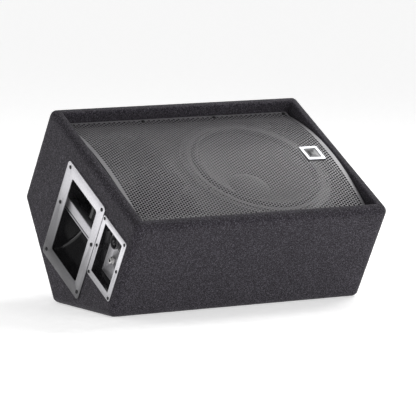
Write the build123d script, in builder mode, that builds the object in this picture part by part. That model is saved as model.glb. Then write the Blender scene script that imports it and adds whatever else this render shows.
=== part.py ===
from build123d import *

import os
from math import cos, pi, radians, sin, tan

# Stage monitor wedge: a two-way loudspeaker in a carpeted five-sided box that lies on the floor.
#
# Frame: +X along the length, +Y to the rear, +Z up, origin on the floor under the middle of the
# box. The baffle leans back. Places on it are (x, u, n): x along the length from the outside of
# the left end, u down the slope from the rear top edge, n into the box from the rim's plane.

# Cabinet, outside of the carpet
LENGTH = 572
SLOPE = 396
SIDE = 214
TILT = 30
EDGE_RADIUS = 14
CARPET = 2
BOARD = 18
LINING = 2
WALL = CARPET + BOARD
RIM = WALL + LINING
END_SKIN = 16

# Baffle
BAFFLE_FRONT = 33
BAFFLE_BACK = BAFFLE_FRONT + BOARD
BATTEN = 18
BATTEN_START = 40

# Grille
GRILLE_GAP = 2
GRILLE_THICK = 1.2
GRILLE_REAR = 24
GRILLE_FRONT = 20
GRILLE_TOP = 2
GRILLE_MARGIN = 17
GRILLE_SHOULDER = 9.5
GRILLE_SHOULDER_HALF = 98
GRILLE_SCREWS = [38.5, 203.5, 368.5, 533.5]
GRILLE_SCREW_INSET = 30
GRILLE_SCREW_HEAD = 2
GRILLE_SCREW_LENGTH = 7
BLOCK = (16, 12)
BADGE = (480, 522, 176, 220)
BADGE_RADIUS = 3
BADGE_BACK = 1.9
BADGE_THICK = 2

# Woofer
WOOFER = (377, 198)
FLANGE_RADIUS = 155
FLANGE_FRONT = 30
BOLT_CIRCLE = 149
BOLTS = 8
BOLT_RADIUS = 2.5
BOLT_HOLE = 2.8
BOLT_HEAD = 1.5
BOLT_LENGTH = 26
TEE_NUT_RADIUS = 8
WOOFER_CUTOUT = 141
BASKET_MOUTH = 139
BASKET_WAIST = 80
BASKET_HOLE = 40
BASKET_WALL = 3
BASKET_FLOOR = 100
WINDOWS = 6
WINDOW_CIRCLE = 107
WINDOW = (42, 74, 8)
SPIDER_SEAT = (68, 74)
SPIDER_SEAT_FRONT = 90
SPIDER_SHEET = 0.8
SPIDER_WAVE = 1.6
SPIDER_STEP = 3.5
SPIDER_START = 38
SPIDER_FOLDS = 9
SURROUND_RADIUS = 133
SURROUND_SHEET = 1
SURROUND_LAP = 4
GASKET = (134, 143)
GASKET_THICK = 2
CONE_RADIUS = 119
CONE_DEPTH = 50
CONE_LIP = 4
CONE_WALL = 1.6
CAP_RADIUS = 42
CAP_RISE = 16
CAP_SHEET = 1
COIL_RADIUS = 32.7
COIL_WINDING = 12
COIL_BUILD = 1.4
FORMER_WALL = 0.6
TOP_PLATE = 8
TOP_PLATE_RADIUS = 66
MAGNET = 20
MAGNET_RADII = (45, 78)
BACK_PLATE = 7
BACK_PLATE_RADIUS = 72
POLE_VENT = 8
TERMINALS = (24, 12, 71, 76)
TERMINAL_TAG = (5, 1, 7)
TERMINAL_SPREAD = 6
TERMINAL_OFFSET = 112

# Horn and compression driver
HORN = (108, 199)
HORN_FRONT = 28
HORN_FLANGE = (27, 195, 57, 341)
HORN_SECTIONS = [(136, 256, 5, 28), (86, 132, 4, 72), (26, 26, 12.9, 138)]
HORN_FLANGE_RADIUS = 10
HORN_WALL = 3
HORN_JOINT = (9, 3)
HORN_CUTOUT = (35, 181, 66, 333)
HORN_SCREWS = [(31, 76), (31, 199), (31, 322), (188, 76), (188, 199), (188, 322)]
HORN_SCREW_HEAD = 3.5
HORN_SCREW_RISE = 2
HORN_SCREW_LENGTH = 20
DRIVER_MOUNT = 4
DRIVER_RADIUS = 36
DRIVER_THROAT = 12.7
DRIVER_BODY = 40
DRIVER_COVER = 26
COVER_WALL = 2
COVER_CHAMFER = 6
DIAPHRAGM_RADIUS = 22
DIAPHRAGM_RISE = 9
DIAPHRAGM_FLANGE = 30
DIAPHRAGM_SHEET = 0.5

# Reflex ports
PORTS = [(512, 64), (512, 332)]
PORT_BORE = 22
PORT_OUTER = 24
PORT_FLANGE = 26
PORT_FLANGE_THICK = 2
PORT_END = 118

# Carrying handle in the left end, as (u, n)
HANDLE_PLATE = (118, 280, 40, 260)
HANDLE_PLATE_RADIUS = 8
HANDLE_MOUTH = (147, 256, 65, 233)
HANDLE_MOUTH_RADIUS = 5
HANDLE_PROUD = 2.5
HANDLE_DEPTH = 65
CUP_WALL = 2
BAR_SPAN = (114, 141)
BAR_RECESS = 4
BAR_THICK = 18
BAR_RADIUS = 5
HANDLE_SCREWS = [(130, 50), (130, 133), (130, 247), (270, 50), (270, 133), (270, 247)]
HANDLE_SCREW_RISE = 1.5
HANDLE_SCREW_LENGTH = 16
CUT_CLEARANCE = 0.5

# Input panel in the left end, as (u, n)
INPUT_PLATE = (281.5, 379, 52, 190)
INPUT_PLATE_RADIUS = 6
INPUT_MOUTH = (294, 366, 65, 176)
INPUT_PROUD = 2
INPUT_FLOOR = 23
INPUT_WALL = 2
INPUT_SCREWS = [(287.5, 58), (287.5, 121), (287.5, 184), (373, 58), (373, 121), (373, 184)]
INPUT_SCREW_RISE = 1.2
INPUT_SCREW_LENGTH = 14
SOCKET = (320, 92)
SOCKET_FLANGE = (31, 27, 3)
SOCKET_FLANGE_THICK = 2.5
SOCKET_COLLAR = 13.5
SOCKET_COLLAR_RISE = 12
SOCKET_BODY = 12.8
SOCKET_BODY_LENGTH = 16
SOCKET_BACK_WALL = 3
SOCKET_BORE = 11.5
SOCKET_POST = 5
JACK = (318, 137)
JACK_BORE = 3.25
JACK_MOUTH = 16
JACK_DEPTH = 34
JACK_NOSE = 5.4
JACK_BODY = 16
JACK_BODY_LENGTH = 30
JACK_NUT = 8
JACK_NUT_THICK = 3
SOCKET_CLEARANCE = 0.2
NUT_CLEARANCE = 0.05

# Pole cup in the right end, as (u, n)
POLE_CUP = (198, 165)
POLE_BORE = 17.75
POLE_WALL = 2.5
POLE_DEPTH = 85
POLE_FLANGE = 90
POLE_FLANGE_RADIUS = 8
POLE_SCREW_GRID = 68
POLE_SCREW_LENGTH = 14

# Screws
SCREW_HEAD = 4
SCREW_SHANK = 1.8
SCREW_HOLE = 2.1

# Inside
PAD = 24
PAD_GAP = 10
CROSSOVER = (190, 330, 95, 185)
CROSSOVER_STANDOFF = 4
CROSSOVER_THICK = 2
CROSSOVER_RADIUS = 3
SPACER_INSET = 8
SPACER_RADIUS = 4
COILS = [(218, 122), (296, 158)]
COIL_RADII = (9, 18)
COIL_HEIGHT = 16
CAPACITORS = [(252, 112), (252, 138), (252, 164)]
CAPACITOR_RADIUS = 9
CAPACITOR_HEIGHT = 22
RESISTOR = (280, 320, 110, 122)
RESISTOR_HEIGHT = 12
LEAD_RADIUS = 2.5
BEND_SHARE = 0.45

os.makedirs("parts", exist_ok=True)

cos_tilt = cos(radians(TILT))
sin_tilt = sin(radians(TILT))
tan_tilt = tan(radians(TILT))
RIDGE = SIDE + SLOPE / 2 * tan_tilt

# The rounded box's front and rear reach across the floor from its rear top edge set where that
# edge is, so that the box stands centred over the origin.
front_reach = cos_tilt * (SLOPE - EDGE_RADIUS) - sin_tilt * EDGE_RADIUS + EDGE_RADIUS
rear_corner = SIDE + EDGE_RADIUS * (tan_tilt - 1 / cos_tilt)
rear_reach = sin_tilt * rear_corner - cos_tilt * EDGE_RADIUS + EDGE_RADIUS
top_edge = Vector(-LENGTH / 2, (front_reach - rear_reach) / 2, RIDGE * cos_tilt + SLOPE / 2 * sin_tilt)
down = Vector(0, -cos_tilt, -sin_tilt)
inward = Vector(0, sin_tilt, -cos_tilt)


def place(x, u, n):
    """Point of the frame at (x, u, n)."""
    return top_edge + Vector(x, 0, 0) + down * u + inward * n


def face_plane(n):
    """Plane parallel to the baffle at depth n, with local axes x and u."""
    return Plane(place(0, 0, n), x_dir=(1, 0, 0), z_dir=inward)


def end_plane(x):
    """Plane across the box, x from its left end, with local axes u and n."""
    return Plane(place(x, 0, 0), x_dir=down, z_dir=(1, 0, 0))


def section_plane(centre):
    """Plane through the axis of a round part of the baffle, with local axes radius and n."""
    return Plane(place(*centre, 0), x_dir=(1, 0, 0), z_dir=-down)


def turning_axis(centre):
    """Axis of a round part of the baffle."""
    return Axis(place(*centre, 0), inward)


def span(a_min, a_max, b_min, b_max, radius=0, mode=Mode.ADD):
    """Rectangle between limits on the current sketch."""
    with Locations(((a_min + a_max) / 2, (b_min + b_max) / 2)):
        if radius:
            RectangleRounded(a_max - a_min, b_max - b_min, radius, mode=mode)
        else:
            Rectangle(a_max - a_min, b_max - b_min, mode=mode)


def corners(inset):
    """Corners of the cross-section moved in by inset: rear top, front, front heel, keel, rear heel."""
    heel = SIDE + inset * (tan_tilt - 1 / cos_tilt)
    keel = RIDGE - inset / cos_tilt
    return [
        (inset, inset),
        (SLOPE - inset, inset),
        (SLOPE - inset, heel),
        (SLOPE / 2, keel),
        (inset, heel),
    ]


def sector(first, second):
    """Part of the cross-section that belongs to the side between two corners, up to the mitres."""
    outside = corners(-EDGE_RADIUS)
    inside = corners(3 * WALL)
    return [outside[first], outside[second], inside[second], inside[first]]


def save(piece, label):
    """Labels a finished piece and writes it as its own file."""
    piece.part.label = label
    export_step(piece.part, f"parts/{label}.step")


def turned(centre, outline):
    """Round part on an axis through the baffle, from its half outline of (radius, n) points."""
    with BuildPart() as piece:
        with BuildSketch(section_plane(centre)):
            Polygon(*outline, align=None)
        revolve(axis=turning_axis(centre))
    return piece


def ring(centre, inner, outer, start, end):
    """Plain round ring or disc on an axis through the baffle."""
    return turned(centre, [(inner, start), (outer, start), (outer, end), (inner, end)])


def slab(limits, start, end, radius=0):
    """Plate parallel to the baffle between two depths."""
    with BuildPart() as piece:
        with BuildSketch(face_plane(start)):
            span(*limits, radius)
        extrude(amount=end - start)
    return piece


def end_plate(limits, start, end, radius=0):
    """Plate across the box between two distances from the left end."""
    with BuildPart() as piece:
        with BuildSketch(end_plane(start)):
            span(*limits, radius)
        extrude(amount=end - start)
    return piece


def face_screws(places, head_top, head, head_radius, shank_radius, length):
    """Screws driven square to the baffle, each with a flat round head."""
    with BuildPart() as piece:
        with BuildSketch(face_plane(head_top)):
            with Locations(*places):
                Circle(head_radius)
        extrude(amount=head)
        with BuildSketch(face_plane(head_top + head)):
            with Locations(*places):
                Circle(shank_radius)
        extrude(amount=length)
    return piece


def end_screws(places, head_top, head, length, inward_sign=1):
    """Screws driven into an end panel, each with a flat round head."""
    with BuildPart() as piece:
        with BuildSketch(end_plane(head_top)):
            with Locations(*places):
                Circle(SCREW_HEAD)
        extrude(amount=head * inward_sign)
        with BuildSketch(end_plane(head_top + head * inward_sign)):
            with Locations(*places):
                Circle(SCREW_SHANK)
        extrude(amount=length * inward_sign)
    return piece


# Cabinet panels ------------------------------------------------------------------------------


def end_block(inset, radius, inner):
    """Left end of the box, inset from its outside and rounded on every outer edge."""
    with BuildPart() as piece:
        with BuildSketch(end_plane(inset)):
            Polygon(*corners(inset), align=None)
        extrude(amount=inner - inset)
        inner_plane = inner - LENGTH / 2
        fillet(piece.edges().filter_by(lambda edge: edge.center().X < inner_plane - 1), radius)
    return piece


def handle_opening(start, end):
    """Space through the left end for the handle cup."""
    u_min, u_max, n_min, n_max = HANDLE_MOUTH
    gap = CUP_WALL + CUT_CLEARANCE
    return end_plate((u_min - gap, u_max + gap, n_min - gap, n_max + gap), start, end)


def input_opening(start, end):
    """Space through the left end for the input dish."""
    u_min, u_max, n_min, n_max = INPUT_MOUTH
    gap = INPUT_WALL + CUT_CLEARANCE
    return end_plate((u_min - gap, u_max + gap, n_min - gap, n_max + gap), start, end)


with BuildPart() as end_panel_left:
    add(end_block(CARPET, EDGE_RADIUS - CARPET, WALL).part)
    add(handle_opening(0, WALL).part, mode=Mode.SUBTRACT)
    add(input_opening(0, WALL).part, mode=Mode.SUBTRACT)
    with BuildSketch(end_plane(0)):
        with Locations(*HANDLE_SCREWS, *INPUT_SCREWS):
            Circle(SCREW_HOLE)
    extrude(amount=WALL, mode=Mode.SUBTRACT)
save(end_panel_left, "end_panel_left")

pole_screws = [
    (POLE_CUP[0] + side_u * POLE_SCREW_GRID / 2, POLE_CUP[1] + side_n * POLE_SCREW_GRID / 2)
    for side_u in (-1, 1)
    for side_n in (-1, 1)
]
with BuildPart() as end_panel_right:
    add(mirror(end_block(CARPET, EDGE_RADIUS - CARPET, WALL).part, about=Plane.YZ))
    with BuildSketch(end_plane(LENGTH - WALL - 1)):
        with Locations(POLE_CUP):
            Circle(POLE_BORE + POLE_WALL + CUT_CLEARANCE)
        with Locations(*pole_screws):
            Circle(SCREW_HOLE)
    extrude(amount=WALL + 1, mode=Mode.SUBTRACT)
save(end_panel_right, "end_panel_right")


def side_panel(first, second, cover=None):
    """Board along the box between the end panels, mitred where it meets another board."""
    with BuildPart() as piece:
        with BuildSketch(end_plane(WALL)) as section:
            Polygon(*corners(CARPET), align=None)
            fillet(section.vertices(), EDGE_RADIUS - CARPET)
            Polygon(*corners(WALL), align=None, mode=Mode.SUBTRACT)
            span(WALL, SLOPE - WALL, 0, 2 * WALL, mode=Mode.SUBTRACT)
            Polygon(*(cover or sector(first, second)), align=None, mode=Mode.INTERSECT)
        extrude(amount=LENGTH - 2 * WALL)
    return piece


heel_mitre = sector(4, 0)
open_front = -EDGE_RADIUS
rear_cover = [(-EDGE_RADIUS, open_front), (3 * WALL, open_front), heel_mitre[3], heel_mitre[0]]
front_cover = [(SLOPE - u, n) for u, n in reversed(rear_cover)]
save(side_panel(4, 0, rear_cover), "top_rear_panel")
save(side_panel(1, 2, front_cover), "front_panel")
save(side_panel(3, 4), "lower_rear_panel")
save(side_panel(2, 3), "base_panel")

# Baffle --------------------------------------------------------------------------------------

bolt_places = [
    (WOOFER[0] + BOLT_CIRCLE * cos(radians(angle)), WOOFER[1] + BOLT_CIRCLE * sin(radians(angle)))
    for angle in [360 / BOLTS * (index + 0.5) for index in range(BOLTS)]
]
with BuildPart() as baffle:
    with BuildSketch(face_plane(BAFFLE_FRONT)):
        span(WALL, LENGTH - WALL, WALL, SLOPE - WALL)
        span(*HORN_CUTOUT, mode=Mode.SUBTRACT)
        with Locations(WOOFER):
            Circle(WOOFER_CUTOUT, mode=Mode.SUBTRACT)
        with Locations(*PORTS):
            Circle(PORT_OUTER, mode=Mode.SUBTRACT)
        with Locations(*bolt_places):
            Circle(BOLT_HOLE, mode=Mode.SUBTRACT)
        with Locations(*HORN_SCREWS):
            Circle(SCREW_HOLE, mode=Mode.SUBTRACT)
    extrude(amount=BOARD)
save(baffle, "baffle")

with BuildPart() as baffle_battens:
    with BuildSketch(face_plane(BAFFLE_BACK)):
        span(WALL, LENGTH - WALL, WALL, WALL + BATTEN)
        span(BATTEN_START, LENGTH - WALL, SLOPE - WALL - BATTEN, SLOPE - WALL)
    extrude(amount=BATTEN)
save(baffle_battens, "baffle_battens")

# Carpet --------------------------------------------------------------------------------------


def carpet_end():
    """Carpet over the left end and round its edges."""
    with BuildPart() as piece:
        add(end_block(0, EDGE_RADIUS, 2 * WALL).part)
        add(end_block(CARPET, EDGE_RADIUS - CARPET, 2 * WALL).part, mode=Mode.SUBTRACT)
        with BuildSketch(end_plane(END_SKIN)):
            Polygon(*corners(-EDGE_RADIUS), align=None)
        extrude(amount=LENGTH, mode=Mode.SUBTRACT)
    return piece


def carpet_side(first, second):
    """Carpet over one long side of the box, up to the middle of its rounded edges."""
    with BuildPart() as piece:
        with BuildSketch(end_plane(END_SKIN)) as outline:
            Polygon(*corners(0), align=None)
            fillet(outline.vertices(), EDGE_RADIUS)
            Polygon(*sector(first, second), align=None, mode=Mode.INTERSECT)
        extrude(amount=LENGTH - 2 * END_SKIN)
        with BuildSketch(end_plane(END_SKIN)) as board:
            Polygon(*corners(CARPET), align=None)
            fillet(board.vertices(), EDGE_RADIUS - CARPET)
        extrude(amount=LENGTH - 2 * END_SKIN, mode=Mode.SUBTRACT)
    return piece


with BuildPart() as carpet_end_left:
    add(carpet_end().part)
    add(handle_opening(-1, END_SKIN).part, mode=Mode.SUBTRACT)
    add(input_opening(-1, END_SKIN).part, mode=Mode.SUBTRACT)
    with BuildSketch(end_plane(0)):
        with Locations(*HANDLE_SCREWS, *INPUT_SCREWS):
            Circle(SCREW_HOLE)
    extrude(amount=END_SKIN, mode=Mode.SUBTRACT)
save(carpet_end_left, "carpet_end_left")

with BuildPart() as carpet_end_right:
    add(mirror(carpet_end().part, about=Plane.YZ))
    with BuildSketch(end_plane(LENGTH - END_SKIN)):
        with Locations(POLE_CUP):
            Circle(POLE_BORE + POLE_WALL + CUT_CLEARANCE)
        with Locations(*pole_screws):
            Circle(SCREW_HOLE)
    extrude(amount=END_SKIN, mode=Mode.SUBTRACT)
save(carpet_end_right, "carpet_end_right")

save(carpet_side(4, 0), "carpet_top_rear")
save(carpet_side(1, 2), "carpet_front")
save(carpet_side(3, 4), "carpet_lower_rear")
save(carpet_side(2, 3), "carpet_base")

recess_opening = (RIM, LENGTH - RIM, RIM, SLOPE - RIM)
with BuildPart() as carpet_rim:
    add(carpet_side(0, 1).part)
    with BuildSketch(face_plane(CARPET)):
        span(WALL, LENGTH - WALL, WALL, SLOPE - WALL)
    extrude(amount=BAFFLE_FRONT - CARPET)
    with BuildSketch(face_plane(0)):
        span(*recess_opening)
    extrude(amount=BAFFLE_FRONT, mode=Mode.SUBTRACT)
save(carpet_rim, "carpet_rim")

# Grille --------------------------------------------------------------------------------------


def grille_margin(side):
    """Places across the sheet where a flat margin starts at the wall of the recess and ends."""
    edge = RIM + GRILLE_GAP / 2
    inner = edge + GRILLE_MARGIN
    return (edge, inner) if side == "rear" else (SLOPE - edge, SLOPE - inner)


def grille_arch(depth):
    """Points that the arched middle of the sheet passes through, from rear to front."""
    middle = SLOPE / 2
    return [
        (grille_margin("rear")[1], GRILLE_REAR + depth),
        (middle - GRILLE_SHOULDER_HALF, GRILLE_SHOULDER + depth),
        (middle, GRILLE_TOP + depth),
        (middle + GRILLE_SHOULDER_HALF, GRILLE_SHOULDER + depth),
        (grille_margin("front")[1], GRILLE_FRONT + depth),
    ]


rear_screw_places = [(x, GRILLE_SCREW_INSET) for x in GRILLE_SCREWS]
front_screw_places = [(x, SLOPE - GRILLE_SCREW_INSET) for x in GRILLE_SCREWS]
grille_start = RIM + GRILLE_GAP
with BuildPart() as grille:
    with BuildSketch(end_plane(grille_start)):
        with BuildLine():
            upper = grille_arch(0)
            lower = grille_arch(GRILLE_THICK)
            rear_upper = (grille_margin("rear")[0], GRILLE_REAR)
            rear_lower = (grille_margin("rear")[0], GRILLE_REAR + GRILLE_THICK)
            front_upper = (grille_margin("front")[0], GRILLE_FRONT)
            front_lower = (grille_margin("front")[0], GRILLE_FRONT + GRILLE_THICK)
            Line(rear_upper, upper[0])
            Spline(*upper)
            Polyline(upper[-1], front_upper, front_lower, lower[-1])
            Spline(*reversed(lower))
            Polyline(lower[0], rear_lower, rear_upper)
        make_face()
    extrude(amount=LENGTH - 2 * grille_start)
    with BuildSketch(face_plane(0)):
        with Locations(*rear_screw_places, *front_screw_places):
            Circle(SCREW_HOLE)
    extrude(amount=BAFFLE_FRONT, mode=Mode.SUBTRACT)
save(grille, "grille")

with BuildPart() as grille_blocks:
    for screw_places, sheet in ((rear_screw_places, GRILLE_REAR), (front_screw_places, GRILLE_FRONT)):
        with BuildSketch(face_plane(sheet + GRILLE_THICK)):
            with Locations(*screw_places):
                Rectangle(*BLOCK)
                Circle(SCREW_HOLE, mode=Mode.SUBTRACT)
        extrude(amount=BAFFLE_FRONT - GRILLE_THICK - sheet)
save(grille_blocks, "grille_blocks")

with BuildPart() as grille_screws:
    for screw_places, sheet in ((rear_screw_places, GRILLE_REAR), (front_screw_places, GRILLE_FRONT)):
        screw_set = face_screws(
            screw_places,
            sheet - GRILLE_SCREW_HEAD,
            GRILLE_SCREW_HEAD,
            SCREW_HEAD,
            SCREW_SHANK,
            GRILLE_SCREW_LENGTH,
        )
        add(screw_set.part)
save(grille_screws, "grille_screws")

save(slab(BADGE, BADGE_BACK - BADGE_THICK, BADGE_BACK, BADGE_RADIUS), "grille_badge")

# Woofer --------------------------------------------------------------------------------------

floor_front = BASKET_FLOOR - BASKET_WALL
basket_outline = [
    (SURROUND_RADIUS, FLANGE_FRONT),
    (FLANGE_RADIUS, FLANGE_FRONT),
    (FLANGE_RADIUS, BAFFLE_FRONT),
    (BASKET_MOUTH, BAFFLE_FRONT),
    (BASKET_WAIST, BASKET_FLOOR),
    (BASKET_HOLE, BASKET_FLOOR),
    (BASKET_HOLE, floor_front),
    (SPIDER_SEAT[0], floor_front),
    (SPIDER_SEAT[0], SPIDER_SEAT_FRONT),
    (SPIDER_SEAT[1], SPIDER_SEAT_FRONT),
    (SPIDER_SEAT[1], floor_front),
    (BASKET_WAIST - BASKET_WALL, floor_front),
    (SURROUND_RADIUS, BAFFLE_FRONT + BASKET_WALL),
]
window_start = BAFFLE_FRONT + BASKET_WALL + 1
with BuildPart() as woofer_basket:
    with BuildSketch(section_plane(WOOFER)):
        Polygon(*basket_outline, align=None)
    revolve(axis=turning_axis(WOOFER))
    with BuildSketch(face_plane(window_start)):
        with Locations(WOOFER):
            with PolarLocations(WINDOW_CIRCLE, WINDOWS):
                RectangleRounded(*WINDOW)
    extrude(amount=floor_front - 1 - window_start, mode=Mode.SUBTRACT)
    with BuildSketch(face_plane(FLANGE_FRONT)):
        with Locations(*bolt_places):
            Circle(BOLT_HOLE)
    extrude(amount=BAFFLE_FRONT - FLANGE_FRONT, mode=Mode.SUBTRACT)
save(woofer_basket, "woofer_basket")

lap_front = FLANGE_FRONT - SURROUND_SHEET
save(ring(WOOFER, *GASKET, lap_front - GASKET_THICK, lap_front), "woofer_gasket")

surround_mid = (CONE_RADIUS + SURROUND_RADIUS) / 2
roll = (SURROUND_RADIUS - CONE_RADIUS) / 2
with BuildPart() as woofer_surround:
    with BuildSketch(section_plane(WOOFER)):
        with Locations((surround_mid, FLANGE_FRONT)):
            Circle(roll)
            Circle(roll - SURROUND_SHEET, mode=Mode.SUBTRACT)
        span(CONE_RADIUS - 1, GASKET[0], 0, lap_front, mode=Mode.INTERSECT)
        span(SURROUND_RADIUS - SURROUND_SHEET, GASKET[1], lap_front, FLANGE_FRONT)
        span(CONE_RADIUS - SURROUND_LAP - 1, CONE_RADIUS + SURROUND_SHEET, lap_front, FLANGE_FRONT)
    revolve(axis=turning_axis(WOOFER))
save(woofer_surround, "woofer_surround")

cone_neck = FLANGE_FRONT + CONE_DEPTH
cone_edge = CONE_RADIUS - CONE_LIP
cone_outline = [
    (cone_edge, FLANGE_FRONT),
    (CONE_RADIUS, FLANGE_FRONT),
    (CONE_RADIUS, FLANGE_FRONT + 1),
    (cone_edge - 0.5, FLANGE_FRONT + 1),
    (COIL_RADIUS, cone_neck + CONE_WALL),
    (COIL_RADIUS, cone_neck),
]
save(turned(WOOFER, cone_outline), "woofer_cone")

cap_seat = cone_neck - (CAP_RADIUS - COIL_RADIUS) * CONE_DEPTH / (cone_edge - COIL_RADIUS)
cap_lift = 0.3
sphere = (CAP_RADIUS**2 + CAP_RISE**2) / (2 * CAP_RISE)
with BuildPart() as dust_cap:
    with BuildSketch(section_plane(WOOFER)):
        with Locations((0, cap_seat - CAP_RISE + sphere)):
            Circle(sphere)
            Circle(sphere - CAP_SHEET, mode=Mode.SUBTRACT)
        span(0, CAP_RADIUS, 0, cap_seat - cap_lift, mode=Mode.INTERSECT)
    revolve(axis=turning_axis(WOOFER))
save(dust_cap, "dust_cap")

coil_end = BASKET_FLOOR + TOP_PLATE + 2
coil_start = coil_end - COIL_WINDING
former_outer = COIL_RADIUS - 0.1
former_inner = former_outer - FORMER_WALL
coil_outline = [
    (former_inner, cone_neck - 1),
    (former_outer, cone_neck - 1),
    (former_outer, coil_start),
    (former_outer + COIL_BUILD, coil_start),
    (former_outer + COIL_BUILD, coil_end),
    (former_inner, coil_end),
]
save(turned(WOOFER, coil_outline), "voice_coil")

spider_folds = [SPIDER_START + SPIDER_STEP * index for index in range(SPIDER_FOLDS)]
spider_radii = [COIL_RADIUS + 0.1, *spider_folds, SPIDER_SEAT[1]]
spider_rest = SPIDER_SEAT_FRONT - 2 * SPIDER_SHEET
spider_front = [
    (radius, spider_rest + SPIDER_WAVE * (index % 2) * (index < SPIDER_FOLDS))
    for index, radius in enumerate(spider_radii)
]
spider_back = [(radius, depth + SPIDER_SHEET) for radius, depth in reversed(spider_front)]
save(turned(WOOFER, spider_front + spider_back), "woofer_spider")

magnet_front = BASKET_FLOOR + TOP_PLATE
magnet_back = magnet_front + MAGNET
motor_back = magnet_back + BACK_PLATE
gap_outer = COIL_RADIUS + 2.5
pole_radius = COIL_RADIUS - 1.7
save(ring(WOOFER, gap_outer, TOP_PLATE_RADIUS, BASKET_FLOOR, magnet_front), "woofer_top_plate")
save(ring(WOOFER, *MAGNET_RADII, magnet_front, magnet_back), "woofer_magnet")
pole_outline = [
    (POLE_VENT, BASKET_FLOOR),
    (pole_radius, BASKET_FLOOR),
    (pole_radius, magnet_back),
    (BACK_PLATE_RADIUS, magnet_back),
    (BACK_PLATE_RADIUS, motor_back),
    (POLE_VENT, motor_back),
]
save(turned(WOOFER, pole_outline), "woofer_back_plate")

bolt_top = FLANGE_FRONT - BOLT_HEAD
woofer_bolts = face_screws(bolt_places, bolt_top, BOLT_HEAD, SCREW_HEAD, BOLT_RADIUS, BOLT_LENGTH)
save(woofer_bolts, "woofer_bolts")

with BuildPart() as tee_nuts:
    with BuildSketch(face_plane(BAFFLE_BACK)):
        with Locations(*bolt_places):
            Circle(TEE_NUT_RADIUS)
            Circle(BOLT_RADIUS + NUT_CLEARANCE, mode=Mode.SUBTRACT)
    extrude(amount=2)
save(tee_nuts, "tee_nuts")

terminal_length, terminal_width, terminal_front, terminal_back = TERMINALS
terminal_u = WOOFER[1] - TERMINAL_OFFSET
tag_width, tag_thick, tag_length = TERMINAL_TAG
tag_places = [(WOOFER[0] + side * TERMINAL_SPREAD, terminal_u) for side in (-1, 1)]
with BuildPart() as woofer_terminals:
    with BuildSketch(face_plane(terminal_front)):
        with Locations((WOOFER[0], terminal_u)):
            Rectangle(terminal_length, terminal_width)
    extrude(amount=terminal_back - terminal_front)
    with BuildSketch(face_plane(terminal_back)):
        with Locations(*tag_places):
            Rectangle(tag_width, tag_thick)
    extrude(amount=tag_length)
save(woofer_terminals, "woofer_terminals")

# Horn and compression driver -----------------------------------------------------------------


def horn_joint(start):
    """Flange round the horn's waist, where its two mouldings are bonded together."""
    width, height, radius, _ = HORN_SECTIONS[1]
    reach, thickness = HORN_JOINT
    with BuildPart() as piece:
        with BuildSketch(face_plane(start)):
            with Locations(HORN):
                RectangleRounded(width + 2 * reach, height + 2 * reach, radius + reach)
        extrude(amount=thickness)
    return piece


def horn_stage(wall, first, second):
    """One straight-sided stage of the horn between two of its sections, grown by wall."""
    with BuildPart() as piece:
        for width, height, radius, depth in (first, second):
            with BuildSketch(face_plane(depth)):
                with Locations(HORN):
                    RectangleRounded(width + 2 * wall, height + 2 * wall, radius + wall)
        loft(ruled=True)
    return piece


mouth_section, waist_section, throat_section = HORN_SECTIONS
waist_depth = waist_section[3]
with BuildPart() as horn:
    with BuildSketch(face_plane(HORN_FRONT)):
        span(*HORN_FLANGE, HORN_FLANGE_RADIUS)
    extrude(amount=BAFFLE_FRONT - HORN_FRONT)
    add(horn_stage(HORN_WALL, mouth_section, waist_section).part)
    add(horn_joint(waist_depth - HORN_JOINT[1]).part)
    add(horn_stage(0, mouth_section, waist_section).part, mode=Mode.SUBTRACT)
    with BuildSketch(face_plane(HORN_FRONT)):
        with Locations(*HORN_SCREWS):
            Circle(SCREW_HOLE)
    extrude(amount=BAFFLE_FRONT - HORN_FRONT, mode=Mode.SUBTRACT)
save(horn, "horn")

throat_depth = throat_section[3]
with BuildPart() as horn_throat:
    add(horn_joint(waist_depth).part)
    add(horn_stage(HORN_WALL, waist_section, throat_section).part)
    with BuildSketch(face_plane(throat_depth - DRIVER_MOUNT)):
        with Locations(HORN):
            Circle(DRIVER_RADIUS)
    extrude(amount=DRIVER_MOUNT)
    add(horn_stage(0, waist_section, throat_section).part, mode=Mode.SUBTRACT)
save(horn_throat, "horn_throat")

horn_screw_top = HORN_FRONT - HORN_SCREW_RISE
horn_screw_set = face_screws(
    HORN_SCREWS, horn_screw_top, HORN_SCREW_RISE, HORN_SCREW_HEAD, SCREW_SHANK, HORN_SCREW_LENGTH
)
save(horn_screw_set, "horn_screws")

driver_back = throat_depth + DRIVER_BODY
save(ring(HORN, DRIVER_THROAT, DRIVER_RADIUS, throat_depth, driver_back), "driver_body")
cover_back = driver_back + DRIVER_COVER
cover_outer = DRIVER_RADIUS - COVER_WALL
cover_inner = cover_outer - COVER_WALL
cover_outline = [
    (cover_inner, driver_back),
    (cover_outer, driver_back),
    (cover_outer, cover_back - COVER_CHAMFER),
    (cover_outer - COVER_CHAMFER, cover_back),
    (0, cover_back),
    (0, cover_back - COVER_WALL),
    (cover_inner - COVER_CHAMFER + 1, cover_back - COVER_WALL),
    (cover_inner, cover_back - COVER_CHAMFER - 1),
]
save(turned(HORN, cover_outline), "driver_cover")

dome = (DIAPHRAGM_RADIUS**2 + DIAPHRAGM_RISE**2) / (2 * DIAPHRAGM_RISE)
dome_base = driver_back + 1
with BuildPart() as driver_diaphragm:
    with BuildSketch(section_plane(HORN)):
        with Locations((0, dome_base + DIAPHRAGM_RISE - dome)):
            Circle(dome)
            Circle(dome - DIAPHRAGM_SHEET, mode=Mode.SUBTRACT)
        span(0, DIAPHRAGM_RADIUS, dome_base, dome_base + 2 * DIAPHRAGM_RISE, mode=Mode.INTERSECT)
        span(DIAPHRAGM_RADIUS - 2, DIAPHRAGM_FLANGE, driver_back, dome_base)
    revolve(axis=turning_axis(HORN))
save(driver_diaphragm, "driver_diaphragm")

# Reflex ports --------------------------------------------------------------------------------

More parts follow.
